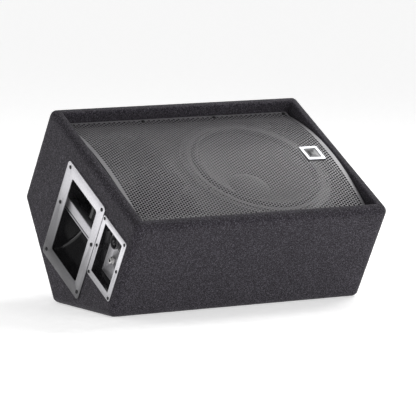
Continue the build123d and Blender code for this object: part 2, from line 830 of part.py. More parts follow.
for side, port in zip(("rear", "front"), PORTS):
    flange_front = BAFFLE_FRONT - PORT_FLANGE_THICK
    port_outline = [
        (PORT_BORE, flange_front),
        (PORT_FLANGE, flange_front),
        (PORT_FLANGE, BAFFLE_FRONT),
        (PORT_OUTER, BAFFLE_FRONT),
        (PORT_OUTER, PORT_END),
        (PORT_BORE, PORT_END),
    ]
    save(turned(port, port_outline), f"port_tube_{side}")

# Carrying handle -----------------------------------------------------------------------------

mouth_u_min, mouth_u_max, mouth_n_min, mouth_n_max = HANDLE_MOUTH
with BuildPart() as handle_frame:
    with BuildSketch(end_plane(-HANDLE_PROUD)):
        span(*HANDLE_PLATE, HANDLE_PLATE_RADIUS)
        span(*HANDLE_MOUTH, HANDLE_MOUTH_RADIUS, mode=Mode.SUBTRACT)
        with Locations(*HANDLE_SCREWS):
            Circle(SCREW_HOLE, mode=Mode.SUBTRACT)
    extrude(amount=HANDLE_PROUD)
save(handle_frame, "handle_frame")

mouth_mid = (mouth_n_min + mouth_n_max) / 2
mouth_half = (mouth_n_max - mouth_n_min) / 2


def scoop(wall, u_min, u_max):
    """Half-elliptic hollow of the handle, grown by wall, between two places down the slope."""
    front_plane = Plane(place(0, u_min, mouth_mid), x_dir=inward, z_dir=down)
    with BuildPart() as piece:
        with BuildSketch(front_plane):
            Ellipse(mouth_half + wall, HANDLE_DEPTH + wall)
        extrude(amount=u_max - u_min)
        split(bisect_by=Plane(place(0, u_min, 0), x_dir=down, z_dir=(1, 0, 0)), keep=Keep.TOP)
    return piece


with BuildPart() as handle_cup:
    add(scoop(CUP_WALL, mouth_u_min - CUP_WALL, mouth_u_max + CUP_WALL).part)
    add(scoop(0, mouth_u_min, mouth_u_max).part, mode=Mode.SUBTRACT)
save(handle_cup, "handle_cup")

with BuildPart() as handle_bar:
    with BuildSketch(end_plane(BAR_RECESS)):
        span(mouth_u_min, mouth_u_max, *BAR_SPAN)
    extrude(amount=BAR_THICK)
    long_edges = handle_bar.edges().filter_by(lambda edge: abs(edge.tangent_at(0.5).dot(down)) > 0.99)
    fillet(long_edges, BAR_RADIUS)
save(handle_bar, "handle_bar")

handle_screw_top = -HANDLE_PROUD - HANDLE_SCREW_RISE
handle_screw_set = end_screws(HANDLE_SCREWS, handle_screw_top, HANDLE_SCREW_RISE, HANDLE_SCREW_LENGTH)
save(handle_screw_set, "handle_screws")

# Input panel ---------------------------------------------------------------------------------

in_u_min, in_u_max, in_n_min, in_n_max = INPUT_MOUTH
dish_outer = (in_u_min - INPUT_WALL, in_u_max + INPUT_WALL, in_n_min - INPUT_WALL, in_n_max + INPUT_WALL)
with BuildPart() as input_dish:
    with BuildSketch(end_plane(-INPUT_PROUD)):
        span(*INPUT_PLATE, INPUT_PLATE_RADIUS)
        with Locations(*INPUT_SCREWS):
            Circle(SCREW_HOLE, mode=Mode.SUBTRACT)
    extrude(amount=INPUT_PROUD)
    with BuildSketch(end_plane(0)):
        span(*dish_outer)
    extrude(amount=INPUT_FLOOR + INPUT_WALL)
    with BuildSketch(end_plane(-INPUT_PROUD)):
        span(*INPUT_MOUTH)
    extrude(amount=INPUT_FLOOR + INPUT_PROUD, mode=Mode.SUBTRACT)
    with BuildSketch(end_plane(INPUT_FLOOR)):
        with Locations(SOCKET):
            Circle(SOCKET_BODY + SOCKET_CLEARANCE)
        with Locations(JACK):
            Circle(JACK_NOSE + SOCKET_CLEARANCE)
    extrude(amount=INPUT_WALL, mode=Mode.SUBTRACT)
save(input_dish, "input_dish")
input_screw_top = -INPUT_PROUD - INPUT_SCREW_RISE
input_screw_set = end_screws(INPUT_SCREWS, input_screw_top, INPUT_SCREW_RISE, INPUT_SCREW_LENGTH)
save(input_screw_set, "input_screws")

socket_front = INPUT_FLOOR - SOCKET_COLLAR_RISE
socket_back = INPUT_FLOOR + SOCKET_BODY_LENGTH
with BuildPart() as speaker_socket:
    with BuildSketch(end_plane(INPUT_FLOOR - SOCKET_FLANGE_THICK)):
        with Locations(SOCKET):
            RectangleRounded(*SOCKET_FLANGE)
    extrude(amount=SOCKET_FLANGE_THICK)
    with BuildSketch(end_plane(socket_front)):
        with Locations(SOCKET):
            Circle(SOCKET_COLLAR)
    extrude(amount=SOCKET_COLLAR_RISE)
    with BuildSketch(end_plane(INPUT_FLOOR)):
        with Locations(SOCKET):
            Circle(SOCKET_BODY)
    extrude(amount=socket_back - INPUT_FLOOR)
    with BuildSketch(end_plane(socket_front)):
        with Locations(SOCKET):
            Circle(SOCKET_BORE)
            Circle(SOCKET_POST, mode=Mode.SUBTRACT)
    extrude(amount=socket_back - socket_front - SOCKET_BACK_WALL, mode=Mode.SUBTRACT)
save(speaker_socket, "speaker_socket")

jack_back = INPUT_FLOOR + INPUT_WALL
with BuildPart() as jack_socket:
    with BuildSketch(end_plane(JACK_MOUTH)):
        with Locations(JACK):
            Circle(JACK_NOSE)
    extrude(amount=jack_back - JACK_MOUTH)
    with BuildSketch(end_plane(jack_back)):
        with Locations(JACK):
            Rectangle(JACK_BODY, JACK_BODY)
    extrude(amount=JACK_BODY_LENGTH)
    with BuildSketch(end_plane(JACK_MOUTH)):
        with Locations(JACK):
            Circle(JACK_BORE)
    extrude(amount=JACK_DEPTH, mode=Mode.SUBTRACT)
save(jack_socket, "jack_socket")

with BuildPart() as jack_nut:
    with BuildSketch(end_plane(INPUT_FLOOR - JACK_NUT_THICK)):
        with Locations(JACK):
            RegularPolygon(JACK_NUT, 6)
            Circle(JACK_NOSE + NUT_CLEARANCE, mode=Mode.SUBTRACT)
    extrude(amount=JACK_NUT_THICK)
save(jack_nut, "jack_nut")

# Pole cup ------------------------------------------------------------------------------------

with BuildPart() as pole_cup:
    with BuildSketch(end_plane(LENGTH)):
        with Locations(POLE_CUP):
            RectangleRounded(POLE_FLANGE, POLE_FLANGE, POLE_FLANGE_RADIUS)
        with Locations(*pole_screws):
            Circle(SCREW_HOLE, mode=Mode.SUBTRACT)
    extrude(amount=HANDLE_PROUD)
    with BuildSketch(end_plane(LENGTH)):
        with Locations(POLE_CUP):
            Circle(POLE_BORE + POLE_WALL)
    extrude(amount=-POLE_DEPTH - POLE_WALL)
    with BuildSketch(end_plane(LENGTH + HANDLE_PROUD)):
        with Locations(POLE_CUP):
            Circle(POLE_BORE)
    extrude(amount=-POLE_DEPTH - HANDLE_PROUD, mode=Mode.SUBTRACT)
save(pole_cup, "pole_cup")
pole_screw_top = LENGTH + HANDLE_PROUD + HANDLE_SCREW_RISE
pole_screw_set = end_screws(pole_screws, pole_screw_top, HANDLE_SCREW_RISE, POLE_SCREW_LENGTH, -1)
save(pole_screw_set, "pole_cup_screws")

# Crossover -----------------------------------------------------------------------------------


def rear_plane(u):
    """Plane parallel to the top rear panel, u in from its outside, with local axes x and n."""
    return Plane(place(0, u, 0), x_dir=(1, 0, 0), z_dir=-down)


board_x_min, board_x_max, board_n_min, board_n_max = CROSSOVER
board_u = WALL + CROSSOVER_STANDOFF
parts_u = board_u + CROSSOVER_THICK
spacer_places = [
    (x, n)
    for x in (board_x_min + SPACER_INSET, board_x_max - SPACER_INSET)
    for n in (board_n_min + SPACER_INSET, board_n_max - SPACER_INSET)
]


def on_board(u, places, radius, height):
    """Round things standing off the top rear panel, from u inwards."""
    with BuildPart() as piece:
        with BuildSketch(rear_plane(u)):
            with Locations(*places):
                Circle(radius)
        extrude(amount=-height)
    return piece


with BuildPart() as crossover_board:
    with BuildSketch(rear_plane(board_u)):
        span(*CROSSOVER, CROSSOVER_RADIUS)
    extrude(amount=-CROSSOVER_THICK)
save(crossover_board, "crossover_board")
save(on_board(WALL, spacer_places, SPACER_RADIUS, CROSSOVER_STANDOFF), "crossover_spacers")

with BuildPart() as crossover_coils:
    with BuildSketch(rear_plane(parts_u)):
        with Locations(*COILS):
            Circle(COIL_RADII[1])
            Circle(COIL_RADII[0], mode=Mode.SUBTRACT)
    extrude(amount=-COIL_HEIGHT)
save(crossover_coils, "crossover_coils")
capacitors = on_board(parts_u, CAPACITORS, CAPACITOR_RADIUS, CAPACITOR_HEIGHT)
save(capacitors, "crossover_capacitors")
with BuildPart() as crossover_resistor:
    with BuildSketch(rear_plane(parts_u)):
        span(*RESISTOR)
    extrude(amount=-RESISTOR_HEIGHT)
save(crossover_resistor, "crossover_resistor")

# Leads inside the box ------------------------------------------------------------------------


def bend_radii(points):
    """Largest bend at each turn of a lead that its two runs leave room for."""
    radii = []
    for before, corner, after in zip(points, points[1:], points[2:]):
        first = corner - before
        second = after - corner
        half_turn = radians(first.get_angle(second)) / 2
        radii.append(BEND_SHARE * min(first.length, second.length) / tan(half_turn))
    return radii


def lead(route, label):
    """Round lead along its route of (x, u, n) points, and its bends in millimetres."""
    points = [place(*point) for point in route]
    radii = bend_radii(points)
    with BuildPart() as piece:
        with BuildLine() as path:
            FilletPolyline(*points, radius=radii)
        with BuildSketch(Plane(points[0], z_dir=points[1] - points[0])):
            Circle(LEAD_RADIUS)
        sweep(path=path.wires()[0])
    length = path.wires()[0].length
    share = piece.part.volume / (pi * LEAD_RADIUS**2 * length)
    print(label, "bends", [round(radius) for radius in radii], "length", round(length), "volume", share)
    save(piece, label)


input_route = [
    (jack_back + JACK_BODY_LENGTH, JACK[0], JACK[1]),
    (76, JACK[0], JACK[1]),
    (92, 302, 160),
    (102, 266, 192),
    (112, 220, 218),
    (130, 168, 222),
    (154, 118, 206),
    (182, 78, 184),
    (204, 50, 158),
    (204, parts_u, 158),
]
driver_route = [
    (198, parts_u, 112),
    (198, 46, 112),
    (186, 74, 120),
    (166, 100, 138),
    (144, 122, 158),
    (126, 132, 176),
    (HORN[0], 144, 191),
    (HORN[0], HORN[1] - cover_outer, 191),
]
woofer_route = [
    (310, parts_u, 136),
    (310, 42, 136),
    (330, 60, 128),
    (354, 76, 114),
    (WOOFER[0] - TERMINAL_SPREAD, terminal_u, terminal_back + tag_length + 15),
    (WOOFER[0] - TERMINAL_SPREAD, terminal_u, terminal_back + tag_length),
]
lead(input_route, "input_lead")
lead(driver_route, "driver_lead")
lead(woofer_route, "woofer_lead")

# Damping pads --------------------------------------------------------------------------------

outside = corners(-EDGE_RADIUS)
inside = corners(3 * WALL)
with BuildPart() as damping_pads:
    with BuildSketch(end_plane(WALL + PAD_GAP)):
        Polygon(*corners(WALL), align=None)
        Polygon(*corners(WALL + PAD), align=None, mode=Mode.SUBTRACT)
        Polygon(*outside[2:], *reversed(inside[2:]), align=None, mode=Mode.INTERSECT)
        span(SLOPE / 2 - PAD_GAP, SLOPE / 2 + PAD_GAP, SIDE, RIDGE, mode=Mode.SUBTRACT)
    extrude(amount=LENGTH - 2 * WALL - 2 * PAD_GAP)
save(damping_pads, "damping_pads")
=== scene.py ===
from math import ceil, cos, hypot, pi, radians, sin, sqrt, tan

import bmesh
import bpy
from mathutils import Euler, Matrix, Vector, noise


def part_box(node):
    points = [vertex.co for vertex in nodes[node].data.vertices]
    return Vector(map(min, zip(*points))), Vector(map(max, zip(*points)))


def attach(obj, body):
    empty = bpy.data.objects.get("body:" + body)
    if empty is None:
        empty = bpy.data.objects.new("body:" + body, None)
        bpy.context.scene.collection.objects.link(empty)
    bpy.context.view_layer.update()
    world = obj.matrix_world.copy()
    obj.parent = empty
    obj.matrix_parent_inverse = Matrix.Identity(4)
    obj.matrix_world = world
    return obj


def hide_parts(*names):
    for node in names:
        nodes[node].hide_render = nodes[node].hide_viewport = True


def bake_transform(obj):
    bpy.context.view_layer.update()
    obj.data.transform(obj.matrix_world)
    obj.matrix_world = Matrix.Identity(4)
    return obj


# Stage monitor wedge. Sizes are in millimetres unless a name or comment says otherwise. Places on
# the cabinet are (x, u, n): x along it from its left end, u down the slope of the baffle from the
# rear top edge, n into it from the plane of the rim.

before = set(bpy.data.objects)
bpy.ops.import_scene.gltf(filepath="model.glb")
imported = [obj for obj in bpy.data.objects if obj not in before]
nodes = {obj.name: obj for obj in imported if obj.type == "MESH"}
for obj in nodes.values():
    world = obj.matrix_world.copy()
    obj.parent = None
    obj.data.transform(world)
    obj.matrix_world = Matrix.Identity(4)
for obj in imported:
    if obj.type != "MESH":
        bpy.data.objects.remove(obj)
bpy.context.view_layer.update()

MM = 0.001
LENGTH = 572
SLOPE = 396  # width of the slanted top that holds the grille
SIDE = 214  # width of the top rear and front panels
TILT = radians(30)  # of the slope from the floor
EDGE_RADIUS = 14
RIM = 22  # width of the rim round the recess
BAFFLE_EDGE = 20  # u of the baffle's rear edge
BAFFLE_FRONT = 33
BAFFLE_BACK = 51

down = Vector((0, -cos(TILT), -sin(TILT)))
inward = Vector((0, sin(TILT), -cos(TILT)))
baffle_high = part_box("baffle")[1]
top_edge = Vector((
    -LENGTH / 2 * MM,
    baffle_high.y + (cos(TILT) * BAFFLE_EDGE - sin(TILT) * BAFFLE_BACK) * MM,
    baffle_high.z + (sin(TILT) * BAFFLE_EDGE + cos(TILT) * BAFFLE_FRONT) * MM,
))


def place(x, u, n):
    """Point of the frame, in metres, at (x, u, n)."""
    return top_edge + Vector((x * MM, 0, 0)) + down * (u * MM) + inward * (n * MM)


def in_scene(name, data):
    """New object of this data, linked to the scene."""
    made = bpy.data.objects.new(name, data)
    bpy.context.scene.collection.objects.link(made)
    return made


# --- Camera and lights ---

CAMERA_PLACE = (-3.4551, -5.6387, 0.9874)  # metres
CAMERA_TURN = 31.519  # degrees to the right of straight ahead
CAMERA_DIP = 6.953  # degrees below level
CAMERA_ROLL = -0.17  # degrees
LENS = 292.5
WORLD_STRENGTH = 0.48

camera = in_scene("camera", bpy.data.cameras.new("camera"))
camera.data.lens = LENS
camera.location = CAMERA_PLACE
camera.rotation_euler = Euler(
    (radians(90 - CAMERA_DIP), radians(CAMERA_ROLL), radians(-CAMERA_TURN))
)
bpy.context.scene.camera = camera
bpy.context.scene.view_settings.view_transform = "Standard"


def area_light(name, place_m, aim_m, size_m, watts):
    """Soft white rectangular light that faces a point."""
    data = bpy.data.lights.new(name, "AREA")
    data.shape = "RECTANGLE"
    data.size, data.size_y = size_m
    data.energy = watts
    light = in_scene(name, data)
    light.location = place_m
    light.rotation_euler = (Vector(aim_m) - Vector(place_m)).to_track_quat("-Z", "Y").to_euler()


area_light("key_light", (1.9, 0.4, 2.1), (0.15, 0, 0.25), (1.4, 1.2), 38)
area_light("rear_left_light", (-1.9, 2.6, 1.3), (-0.3, 0, 0.2), (1.4, 1.2), 9)
area_light("front_fill", (1.4, -3.4, 1.2), (0, 0, 0.15), (2.4, 1.8), 24)

world = bpy.data.worlds.new("studio")
world.use_nodes = True
background = world.node_tree.nodes["Background"]
background.inputs["Color"].default_value = (1, 1, 1, 1)
background.inputs["Strength"].default_value = WORLD_STRENGTH
bpy.context.scene.world = world

# --- Materials ---

NOISE_SPAN = (0.3, 0.7)  # most of a noise's values lie between these


class Surface:
    """A node material under construction, textured in the object's own space."""

    def __init__(self, name):
        self.material = bpy.data.materials.new(name)
        self.material.use_nodes = True
        self.tree = self.material.node_tree
        self.shader = self.tree.nodes["Principled BSDF"]
        self.place = self.add("ShaderNodeTexCoord").outputs["Object"]

    def add(self, kind, **settings):
        node = self.tree.nodes.new(kind)
        for key, value in settings.items():
            setattr(node, key, value)
        return node

    def link(self, source, target):
        self.tree.links.new(source, target)

    def drive(self, socket, source):
        """Links one of the shader's sockets."""
        self.link(source, self.shader.inputs[socket])

    def fix(self, socket, value):
        """Sets one of the shader's sockets."""
        self.shader.inputs[socket].default_value = value

    def noise(self, size, detail=2.0, roughness=0.5, stretch=(1, 1, 1)):
        """Noise value from 0 to 1 whose blobs are about size millimetres across."""
        mapping = self.add("ShaderNodeMapping")
        mapping.inputs["Scale"].default_value = [1000 / size / s for s in stretch]
        self.link(self.place, mapping.inputs["Vector"])
        texture = self.add("ShaderNodeTexNoise")
        texture.inputs["Scale"].default_value = 1
        texture.inputs["Detail"].default_value = detail
        texture.inputs["Roughness"].default_value = roughness
        self.link(mapping.outputs["Vector"], texture.inputs["Vector"])
        return texture.outputs["Fac"]

    def ramp(self, value, stops):
        """Colour looked up from a value through (position, colour) stops."""
        node = self.add("ShaderNodeValToRGB")
        elements = node.color_ramp.elements
        while len(elements) < len(stops):
            elements.new(0.5)
        for element, (position, colour) in zip(elements, stops):
            element.position = position
            element.color = (*colour, 1)
        self.link(value, node.inputs["Fac"])
        return node.outputs["Color"]

    def tinted(self, value, dark, light):
        """Colour that goes from dark to light over a noise's span."""
        return self.ramp(value, list(zip(NOISE_SPAN, (dark, light))))

    def swing(self, value, low, high):
        """Sets the roughness to swing from low to high over a noise's span."""
        node = self.add("ShaderNodeMapRange")
        sockets = ("From Min", "From Max", "To Min", "To Max")
        for socket, number in zip(sockets, (*NOISE_SPAN, low, high)):
            node.inputs[socket].default_value = number
        self.link(value, node.inputs["Value"])
        self.drive("Roughness", node.outputs["Result"])

    def product(self, first, second):
        """Two colours multiplied."""
        node = self.add("ShaderNodeMix", data_type="RGBA", blend_type="MULTIPLY")
        factor, first_colour, second_colour = (node.inputs[index] for index in (0, 6, 7))
        factor.default_value = 1.0
        self.link(first, first_colour)
        self.link(second, second_colour)
        return node.outputs[2]

    def bump(self, height, depth, strength=1.0, under=None):
        """Bump of a given depth in millimetres, on top of another bump if there is one."""
        node = self.add("ShaderNodeBump")
        node.inputs["Distance"].default_value = depth * MM
        node.inputs["Strength"].default_value = strength
        self.link(height, node.inputs["Height"])
        if under:
            self.link(under, node.inputs["Normal"])
        return node.outputs["Normal"]


def shade(colour, factor):
    """Colour made lighter or darker."""
    return tuple(min(1.0, channel * factor) for channel in colour)


WHITE = (1.0, 1.0, 1.0)
PATCH = 25  # size of the faint patches
PATCH_DARK = (0.88, 0.88, 0.88)


def finish(name, colour, roughness, metallic=0.0, grain=0.8, variation=0.12, depth=0.03, coat=0.0,
           rough_swing=0.06):
    """Even surface with fine grain, faint patches and a roughness that varies with the patches."""
    surface = Surface(name)
    fine = surface.noise(grain, 3)
    broad = surface.noise(PATCH, 4)
    grainy = surface.tinted(fine, shade(colour, 1 - variation), shade(colour, 1 + variation))
    patches = surface.tinted(broad, PATCH_DARK, WHITE)
    surface.drive("Base Color", surface.product(grainy, patches))
    surface.swing(broad, roughness - rough_swing, roughness + rough_swing)
    surface.drive("Normal", surface.bump(fine, depth))
    surface.fix("Metallic", metallic)
    surface.fix("Coat Weight", coat)
    return surface.material


def carpet_material():
    """Charcoal needled carpet: matted fibres with lighter flecks and a soft sheen."""
    surface = Surface("carpet")
    fibre = surface.noise(1.9, 4, 0.75)
    clump = surface.noise(4.5, 3, 0.6)
    broad = surface.noise(60, 3)
    dark, middle, light = (0.008, 0.007, 0.009), (0.036, 0.032, 0.041), (0.17, 0.158, 0.186)
    fibres = surface.ramp(fibre, [(0.36, dark), (0.5, middle), (0.66, light)])
    clumps = surface.ramp(clump, [(0.35, (0.55, 0.55, 0.55)), (0.65, WHITE)])
    patches = surface.tinted(broad, (0.86, 0.85, 0.86), WHITE)
    matted = surface.product(fibres, clumps)
    surface.drive("Base Color", surface.product(matted, patches))
    under = surface.bump(clump, 1.2, 0.8)
    surface.drive("Normal", surface.bump(fibre, 0.7, 0.9, under))
    surface.fix("Roughness", 0.95)
    surface.fix("Specular IOR Level", 0.15)
    surface.fix("Sheen Weight", 0.12)
    surface.fix("Sheen Roughness", 0.5)
    return surface.material


EVEN = ((0.0, 1.0), (1.0, 1.0))


def brushed_material(name, colour, roughness, stretch, painted_reflection=EVEN):
    """Satin sheet metal with faint drawn lines and cloudy marks. Its tone goes through the given
    stops, of (Z less Y of the place in metres, tone): a painted reflection and shade."""
    surface = Surface(name)
    lines = surface.noise(0.5, 2, stretch=stretch)
    cloud = surface.noise(30, 4, 0.55)
    base = surface.tinted(lines, shade(colour, 0.92), shade(colour, 1.06))
    marked = surface.product(base, surface.tinted(cloud, (0.9, 0.9, 0.91), WHITE))
    # Painted reflection and shade: the tone falls with Z less Y, darker low and towards the rear.
    axes = surface.add("ShaderNodeSeparateXYZ")
    surface.link(surface.place, axes.inputs["Vector"])
    rise = surface.add("ShaderNodeMath", operation="SUBTRACT")
    surface.link(axes.outputs["Z"], rise.inputs[0])
    surface.link(axes.outputs["Y"], rise.inputs[1])
    painted_reflection_tone = surface.ramp(rise.outputs[0], [(at, (tone, tone, tone)) for at, tone in painted_reflection])
    surface.drive("Base Color", surface.product(marked, painted_reflection_tone))
    surface.swing(cloud, roughness - 0.05, roughness + 0.07)
    surface.drive("Normal", surface.bump(lines, 0.012))
    surface.fix("Metallic", 1.0)
    return surface.material


def plywood_material():
    """Bare plywood: grain drawn out along the box, with darker growth lines."""
    surface = Surface("plywood")
    grain = surface.noise(2.2, 4, 0.6, stretch=(18, 1, 1))
    figure = surface.noise(26, 3, 0.6, stretch=(5, 1, 1))
    tone = surface.tinted(grain, (0.40, 0.26, 0.14), (0.66, 0.48, 0.29))
    wash = surface.tinted(figure, (0.78, 0.74, 0.7), WHITE)
    surface.drive("Base Color", surface.product(tone, wash))
    surface.drive("Normal", surface.bump(grain, 0.15))
    surface.swing(grain, 0.6, 0.8)
    return surface.material


# The plates' tone falls towards their lower rear, in place of the studio reflections in the photo.
# This is painted reflection and shade, darker low and towards the rear.
PLATE_PAINTED_REFLECTION = ((0.0, 0.13), (0.11, 0.34), (0.17, 0.66), (0.28, 1.0))
PLATE_STRETCH = (1, 8, 8)

carpet = carpet_material()
plywood = plywood_material()
baffle_paint = finish("baffle_paint", (0.012, 0.012, 0.013), 0.6,
                      grain=1.5, variation=0.2, depth=0.1)
grille_paint = finish("grille_paint", (0.20, 0.194, 0.205), 0.36,
                      grain=0.6, variation=0.1, depth=0.015)
badge_frame = brushed_material("badge_frame", (0.48, 0.48, 0.5), 0.42, (12, 1, 1))
badge_field = finish("badge_field", (0.02, 0.02, 0.022), 0.35, grain=0.4)
PLATE_COLOUR = (0.80, 0.79, 0.82)
handle_metal = brushed_material("handle_metal", PLATE_COLOUR, 0.36, PLATE_STRETCH, PLATE_PAINTED_REFLECTION)
input_metal = brushed_material("input_metal", PLATE_COLOUR, 0.3, PLATE_STRETCH, PLATE_PAINTED_REFLECTION)
handle_black = finish("handle_black", (0.014, 0.0135, 0.015), 0.16,
                      grain=3.0, depth=0.02, coat=1.0, rough_swing=0.03)
screw_black = finish("screw_black", (0.03, 0.03, 0.032), 0.32, metallic=0.6, grain=0.3)
zinc = finish("zinc", (0.60, 0.59, 0.56), 0.35, metallic=1.0, grain=0.6)
nickel = finish("nickel", (0.82, 0.81, 0.80), 0.16, metallic=1.0,
                grain=0.5, variation=0.04, rough_swing=0.03)
copper = finish("copper", (0.75, 0.36, 0.18), 0.3, metallic=1.0, grain=0.5)
aluminium = finish("aluminium", (0.78, 0.78, 0.80), 0.25, metallic=1.0, grain=0.4)
basket_paint = finish("basket_paint", (0.07, 0.07, 0.073), 0.38, metallic=0.2, grain=0.6)
gasket_fibre = finish("gasket_fibre", (0.12, 0.117, 0.12), 0.55, grain=1.2, variation=0.3)
surround_cloth = finish("surround_cloth", (0.012, 0.0115, 0.0125), 0.4,
                        grain=0.7, variation=0.25, depth=0.08)
cone_pulp = finish("cone_pulp", (0.045, 0.044, 0.046), 0.5, grain=1.5, variation=0.25, depth=0.08)
spider_cloth = finish("spider_cloth", (0.60, 0.43, 0.20), 0.8, grain=0.5, variation=0.3, depth=0.1)
ferrite = finish("ferrite", (0.07, 0.07, 0.075), 0.55, grain=0.5)
moulding = finish("moulding", (0.028, 0.0275, 0.03), 0.24, grain=0.7, depth=0.05)
socket_black = finish("socket_black", (0.055, 0.054, 0.057), 0.2, grain=0.5)
resin_board = finish("resin_board", (0.16, 0.10, 0.05), 0.5, grain=0.6)
nylon = finish("nylon", (0.72, 0.71, 0.68), 0.5, grain=0.5)
film_sleeve = finish("film_sleeve", (0.06, 0.13, 0.38), 0.25, grain=0.5)
cement = finish("cement", (0.74, 0.72, 0.66), 0.8, grain=0.8, variation=0.15)
sheath = finish("sheath", (0.02, 0.02, 0.021), 0.45, grain=0.6)
wadding = finish("wadding", (0.66, 0.65, 0.61), 0.95, grain=1.5, variation=0.25, depth=0.8)
rubber = finish("rubber", (0.025, 0.025, 0.025), 0.75, grain=0.8)

carpet_nodes = [name for name in nodes if name.startswith("carpet_")]
node_materials = {
    plywood: ["end_panel_left", "end_panel_right", "top_rear_panel", "front_panel",
              "lower_rear_panel", "base_panel", "baffle_battens"],
    baffle_paint: ["baffle"],
    carpet: carpet_nodes,
    grille_paint: ["grille"],
    badge_frame: ["grille_badge"],
    rubber: ["grille_blocks"],
    screw_black: ["grille_screws", "horn_screws", "handle_screws", "input_screws",
                  "pole_cup_screws", "woofer_bolts"],
    zinc: ["tee_nuts", "woofer_top_plate", "woofer_back_plate"],
    basket_paint: ["woofer_basket", "driver_body"],
    gasket_fibre: ["woofer_gasket"],
    surround_cloth: ["woofer_surround"],
    cone_pulp: ["woofer_cone", "dust_cap"],
    copper: ["voice_coil", "crossover_coils"],
    spider_cloth: ["woofer_spider"],
    ferrite: ["woofer_magnet"],
    resin_board: ["woofer_terminals", "crossover_board"],
    moulding: ["horn", "horn_throat", "driver_cover", "port_tube_rear", "port_tube_front",
               "pole_cup"],
    aluminium: ["driver_diaphragm"],
    handle_metal: ["handle_frame", "handle_bar"],
    input_metal: ["input_dish"],
    handle_black: ["handle_cup"],
    socket_black: ["speaker_socket", "jack_socket"],
    nickel: ["jack_nut"],
    nylon: ["crossover_spacers"],
    film_sleeve: ["crossover_capacitors"],
    cement: ["crossover_resistor"],
    sheath: ["input_lead", "driver_lead", "woofer_lead"],
    wadding: ["damping_pads"],
}
for finish_material, names in node_materials.items():
    for name in names:
        nodes[name].data.materials.clear()
        nodes[name].data.materials.append(finish_material)

# --- Mesh helpers ---

SMOOTH_ANGLE = radians(35)  # edges sharper than this are shaded sharp
BEVEL_ANGLE = radians(30)  # edges sharper than this are rounded over
BEVEL_STEPS = 2
MERGE = 0.02 * MM
TINY = 0.01 * MM


def add_piece(name, mesh, materials, replaced, body="cabinet"):
    """Puts a finished mesh in the scene as a piece. It stands for the replaced CAD nodes, which it
    hides, and rides on the body, unless that is None, when it is left unattached."""
    mesh.materials.clear()
    for material in materials:
        mesh.materials.append(material)
    mesh.shade_smooth()
    mesh.set_sharp_from_angle(angle=SMOOTH_ANGLE)
    piece = in_scene(name, mesh)
    if replaced:
        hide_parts(*replaced)
    if body:
        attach(piece, body)
    return piece


def mesh_from(name, points, faces):
    """Mesh with doubled points merged and its faces turned outward."""
    mesh = bpy.data.meshes.new(name)
    mesh.from_pydata([tuple(point) for point in points], [], faces)
    shape = bmesh.new()
    shape.from_mesh(mesh)
    bmesh.ops.remove_doubles(shape, verts=shape.verts, dist=MERGE)
    bmesh.ops.dissolve_degenerate(shape, edges=shape.edges, dist=TINY)
    bmesh.ops.recalc_face_normals(shape, faces=shape.faces)
    shape.to_mesh(mesh)
    shape.free()
    return mesh


def add_form(name, form, material, replaced, body="cabinet"):
    """Puts points and faces in the scene as a piece of one material."""
    return add_piece(name, mesh_from(name, *form), [material], replaced, body)


def applied(mesh, *modifiers):
    """Mesh after modifiers, each given as (kind, settings)."""
    carrier = in_scene("carrier", mesh)
    for kind, settings in modifiers:
        modifier = carrier.modifiers.new(kind, kind)
        for key, value in settings.items():
            setattr(modifier, key, value)
    evaluated = carrier.evaluated_get(bpy.context.evaluated_depsgraph_get())
    result = bpy.data.meshes.new_from_object(evaluated)
    bpy.data.objects.remove(carrier)
    result.name = mesh.name
    return result


def softened(mesh, bevel):
    """Mesh with its sharp edges rounded over."""
    shape = bmesh.new()
    shape.from_mesh(mesh)
    bmesh.ops.remove_doubles(shape, verts=shape.verts, dist=TINY)
    joined = [edge for edge in shape.edges if len(edge.link_faces) == 2]
    bmesh.ops.bevel(
        shape,
        geom=[edge for edge in joined if edge.calc_face_angle() > BEVEL_ANGLE],
        offset=bevel * MM,
        segments=BEVEL_STEPS,
        profile=0.5,
        affect="EDGES",
        clamp_overlap=True,
    )
    shape.to_mesh(mesh)
    shape.free()
    return applied(mesh, ("WEIGHTED_NORMAL", {"keep_sharp": True}))


def refine(node, name, bevel, materials):
    """Copy of a CAD node with softened edges, which stands for it."""
    mesh = softened(nodes[node].data.copy(), bevel)
    return add_piece(name, mesh, materials, [node])


def face_axis(centre):
    """Gives points round an axis square to the baffle, from (radius, angle, n)."""
    return lambda radius, angle, depth: place(
        centre[0] + radius * cos(angle), centre[1] + radius * sin(angle), depth
    )


def end_axis(centre):
    """Gives points round an axis square to the box's ends, from (radius, angle, x)."""
    return lambda radius, angle, depth: place(
        depth, centre[0] + radius * cos(angle), centre[1] + radius * sin(angle)
    )


def skin(rings, count, spans):
    """Faces between rings of count points each. With as many spans as rings, the last ring is
    joined to the first, and with one fewer the two are capped."""
    faces = [
        (
            ring * count + index,
            ring * count + (index + 1) % count,
            (ring + 1) % rings * count + (index + 1) % count,
            (ring + 1) % rings * count + index,
        )
        for ring in range(spans)
        for index in range(count)
    ]
    if spans < rings:
        faces.append(tuple(range(count)))
        faces.append(tuple(range((rings - 1) * count, rings * count)))
    return faces


def turned(point_at, outline, steps=96):
    """Points and faces of a closed outline of (radius, depth) turned about an axis."""
    points = [
        point_at(radius, 2 * pi * step / steps, depth)
        for step in range(steps)
        for radius, depth in outline
    ]
    return points, skin(steps, len(outline), steps)


def gather(parts):
    """Points and faces of several parts joined in one mesh."""
    points, faces = [], []
    for part_points, part_faces in parts:
        start = len(points)
        points.extend(part_points)
        faces.extend(tuple(start + index for index in face) for face in part_faces)
    return points, faces


# --- Carpet ---

CARPET_THICK = 1.6
CARPET_CELL = 4.6
RECESS_LIP = 4  # radius of the edge between the rim and the recess
LIP_STEPS = 3
CORNER_STEPS = 5
EDGE_STEPS = 6
HEEL_STEPS = 4
KEEL_STEPS = 3
SLOPE_NORMAL = (sin(TILT), cos(TILT))
NAP_HEIGHT = 0.22
NAP_SINK = 0.15
NAP_COARSE = 7 * MM
NAP_FINE = 3 * MM

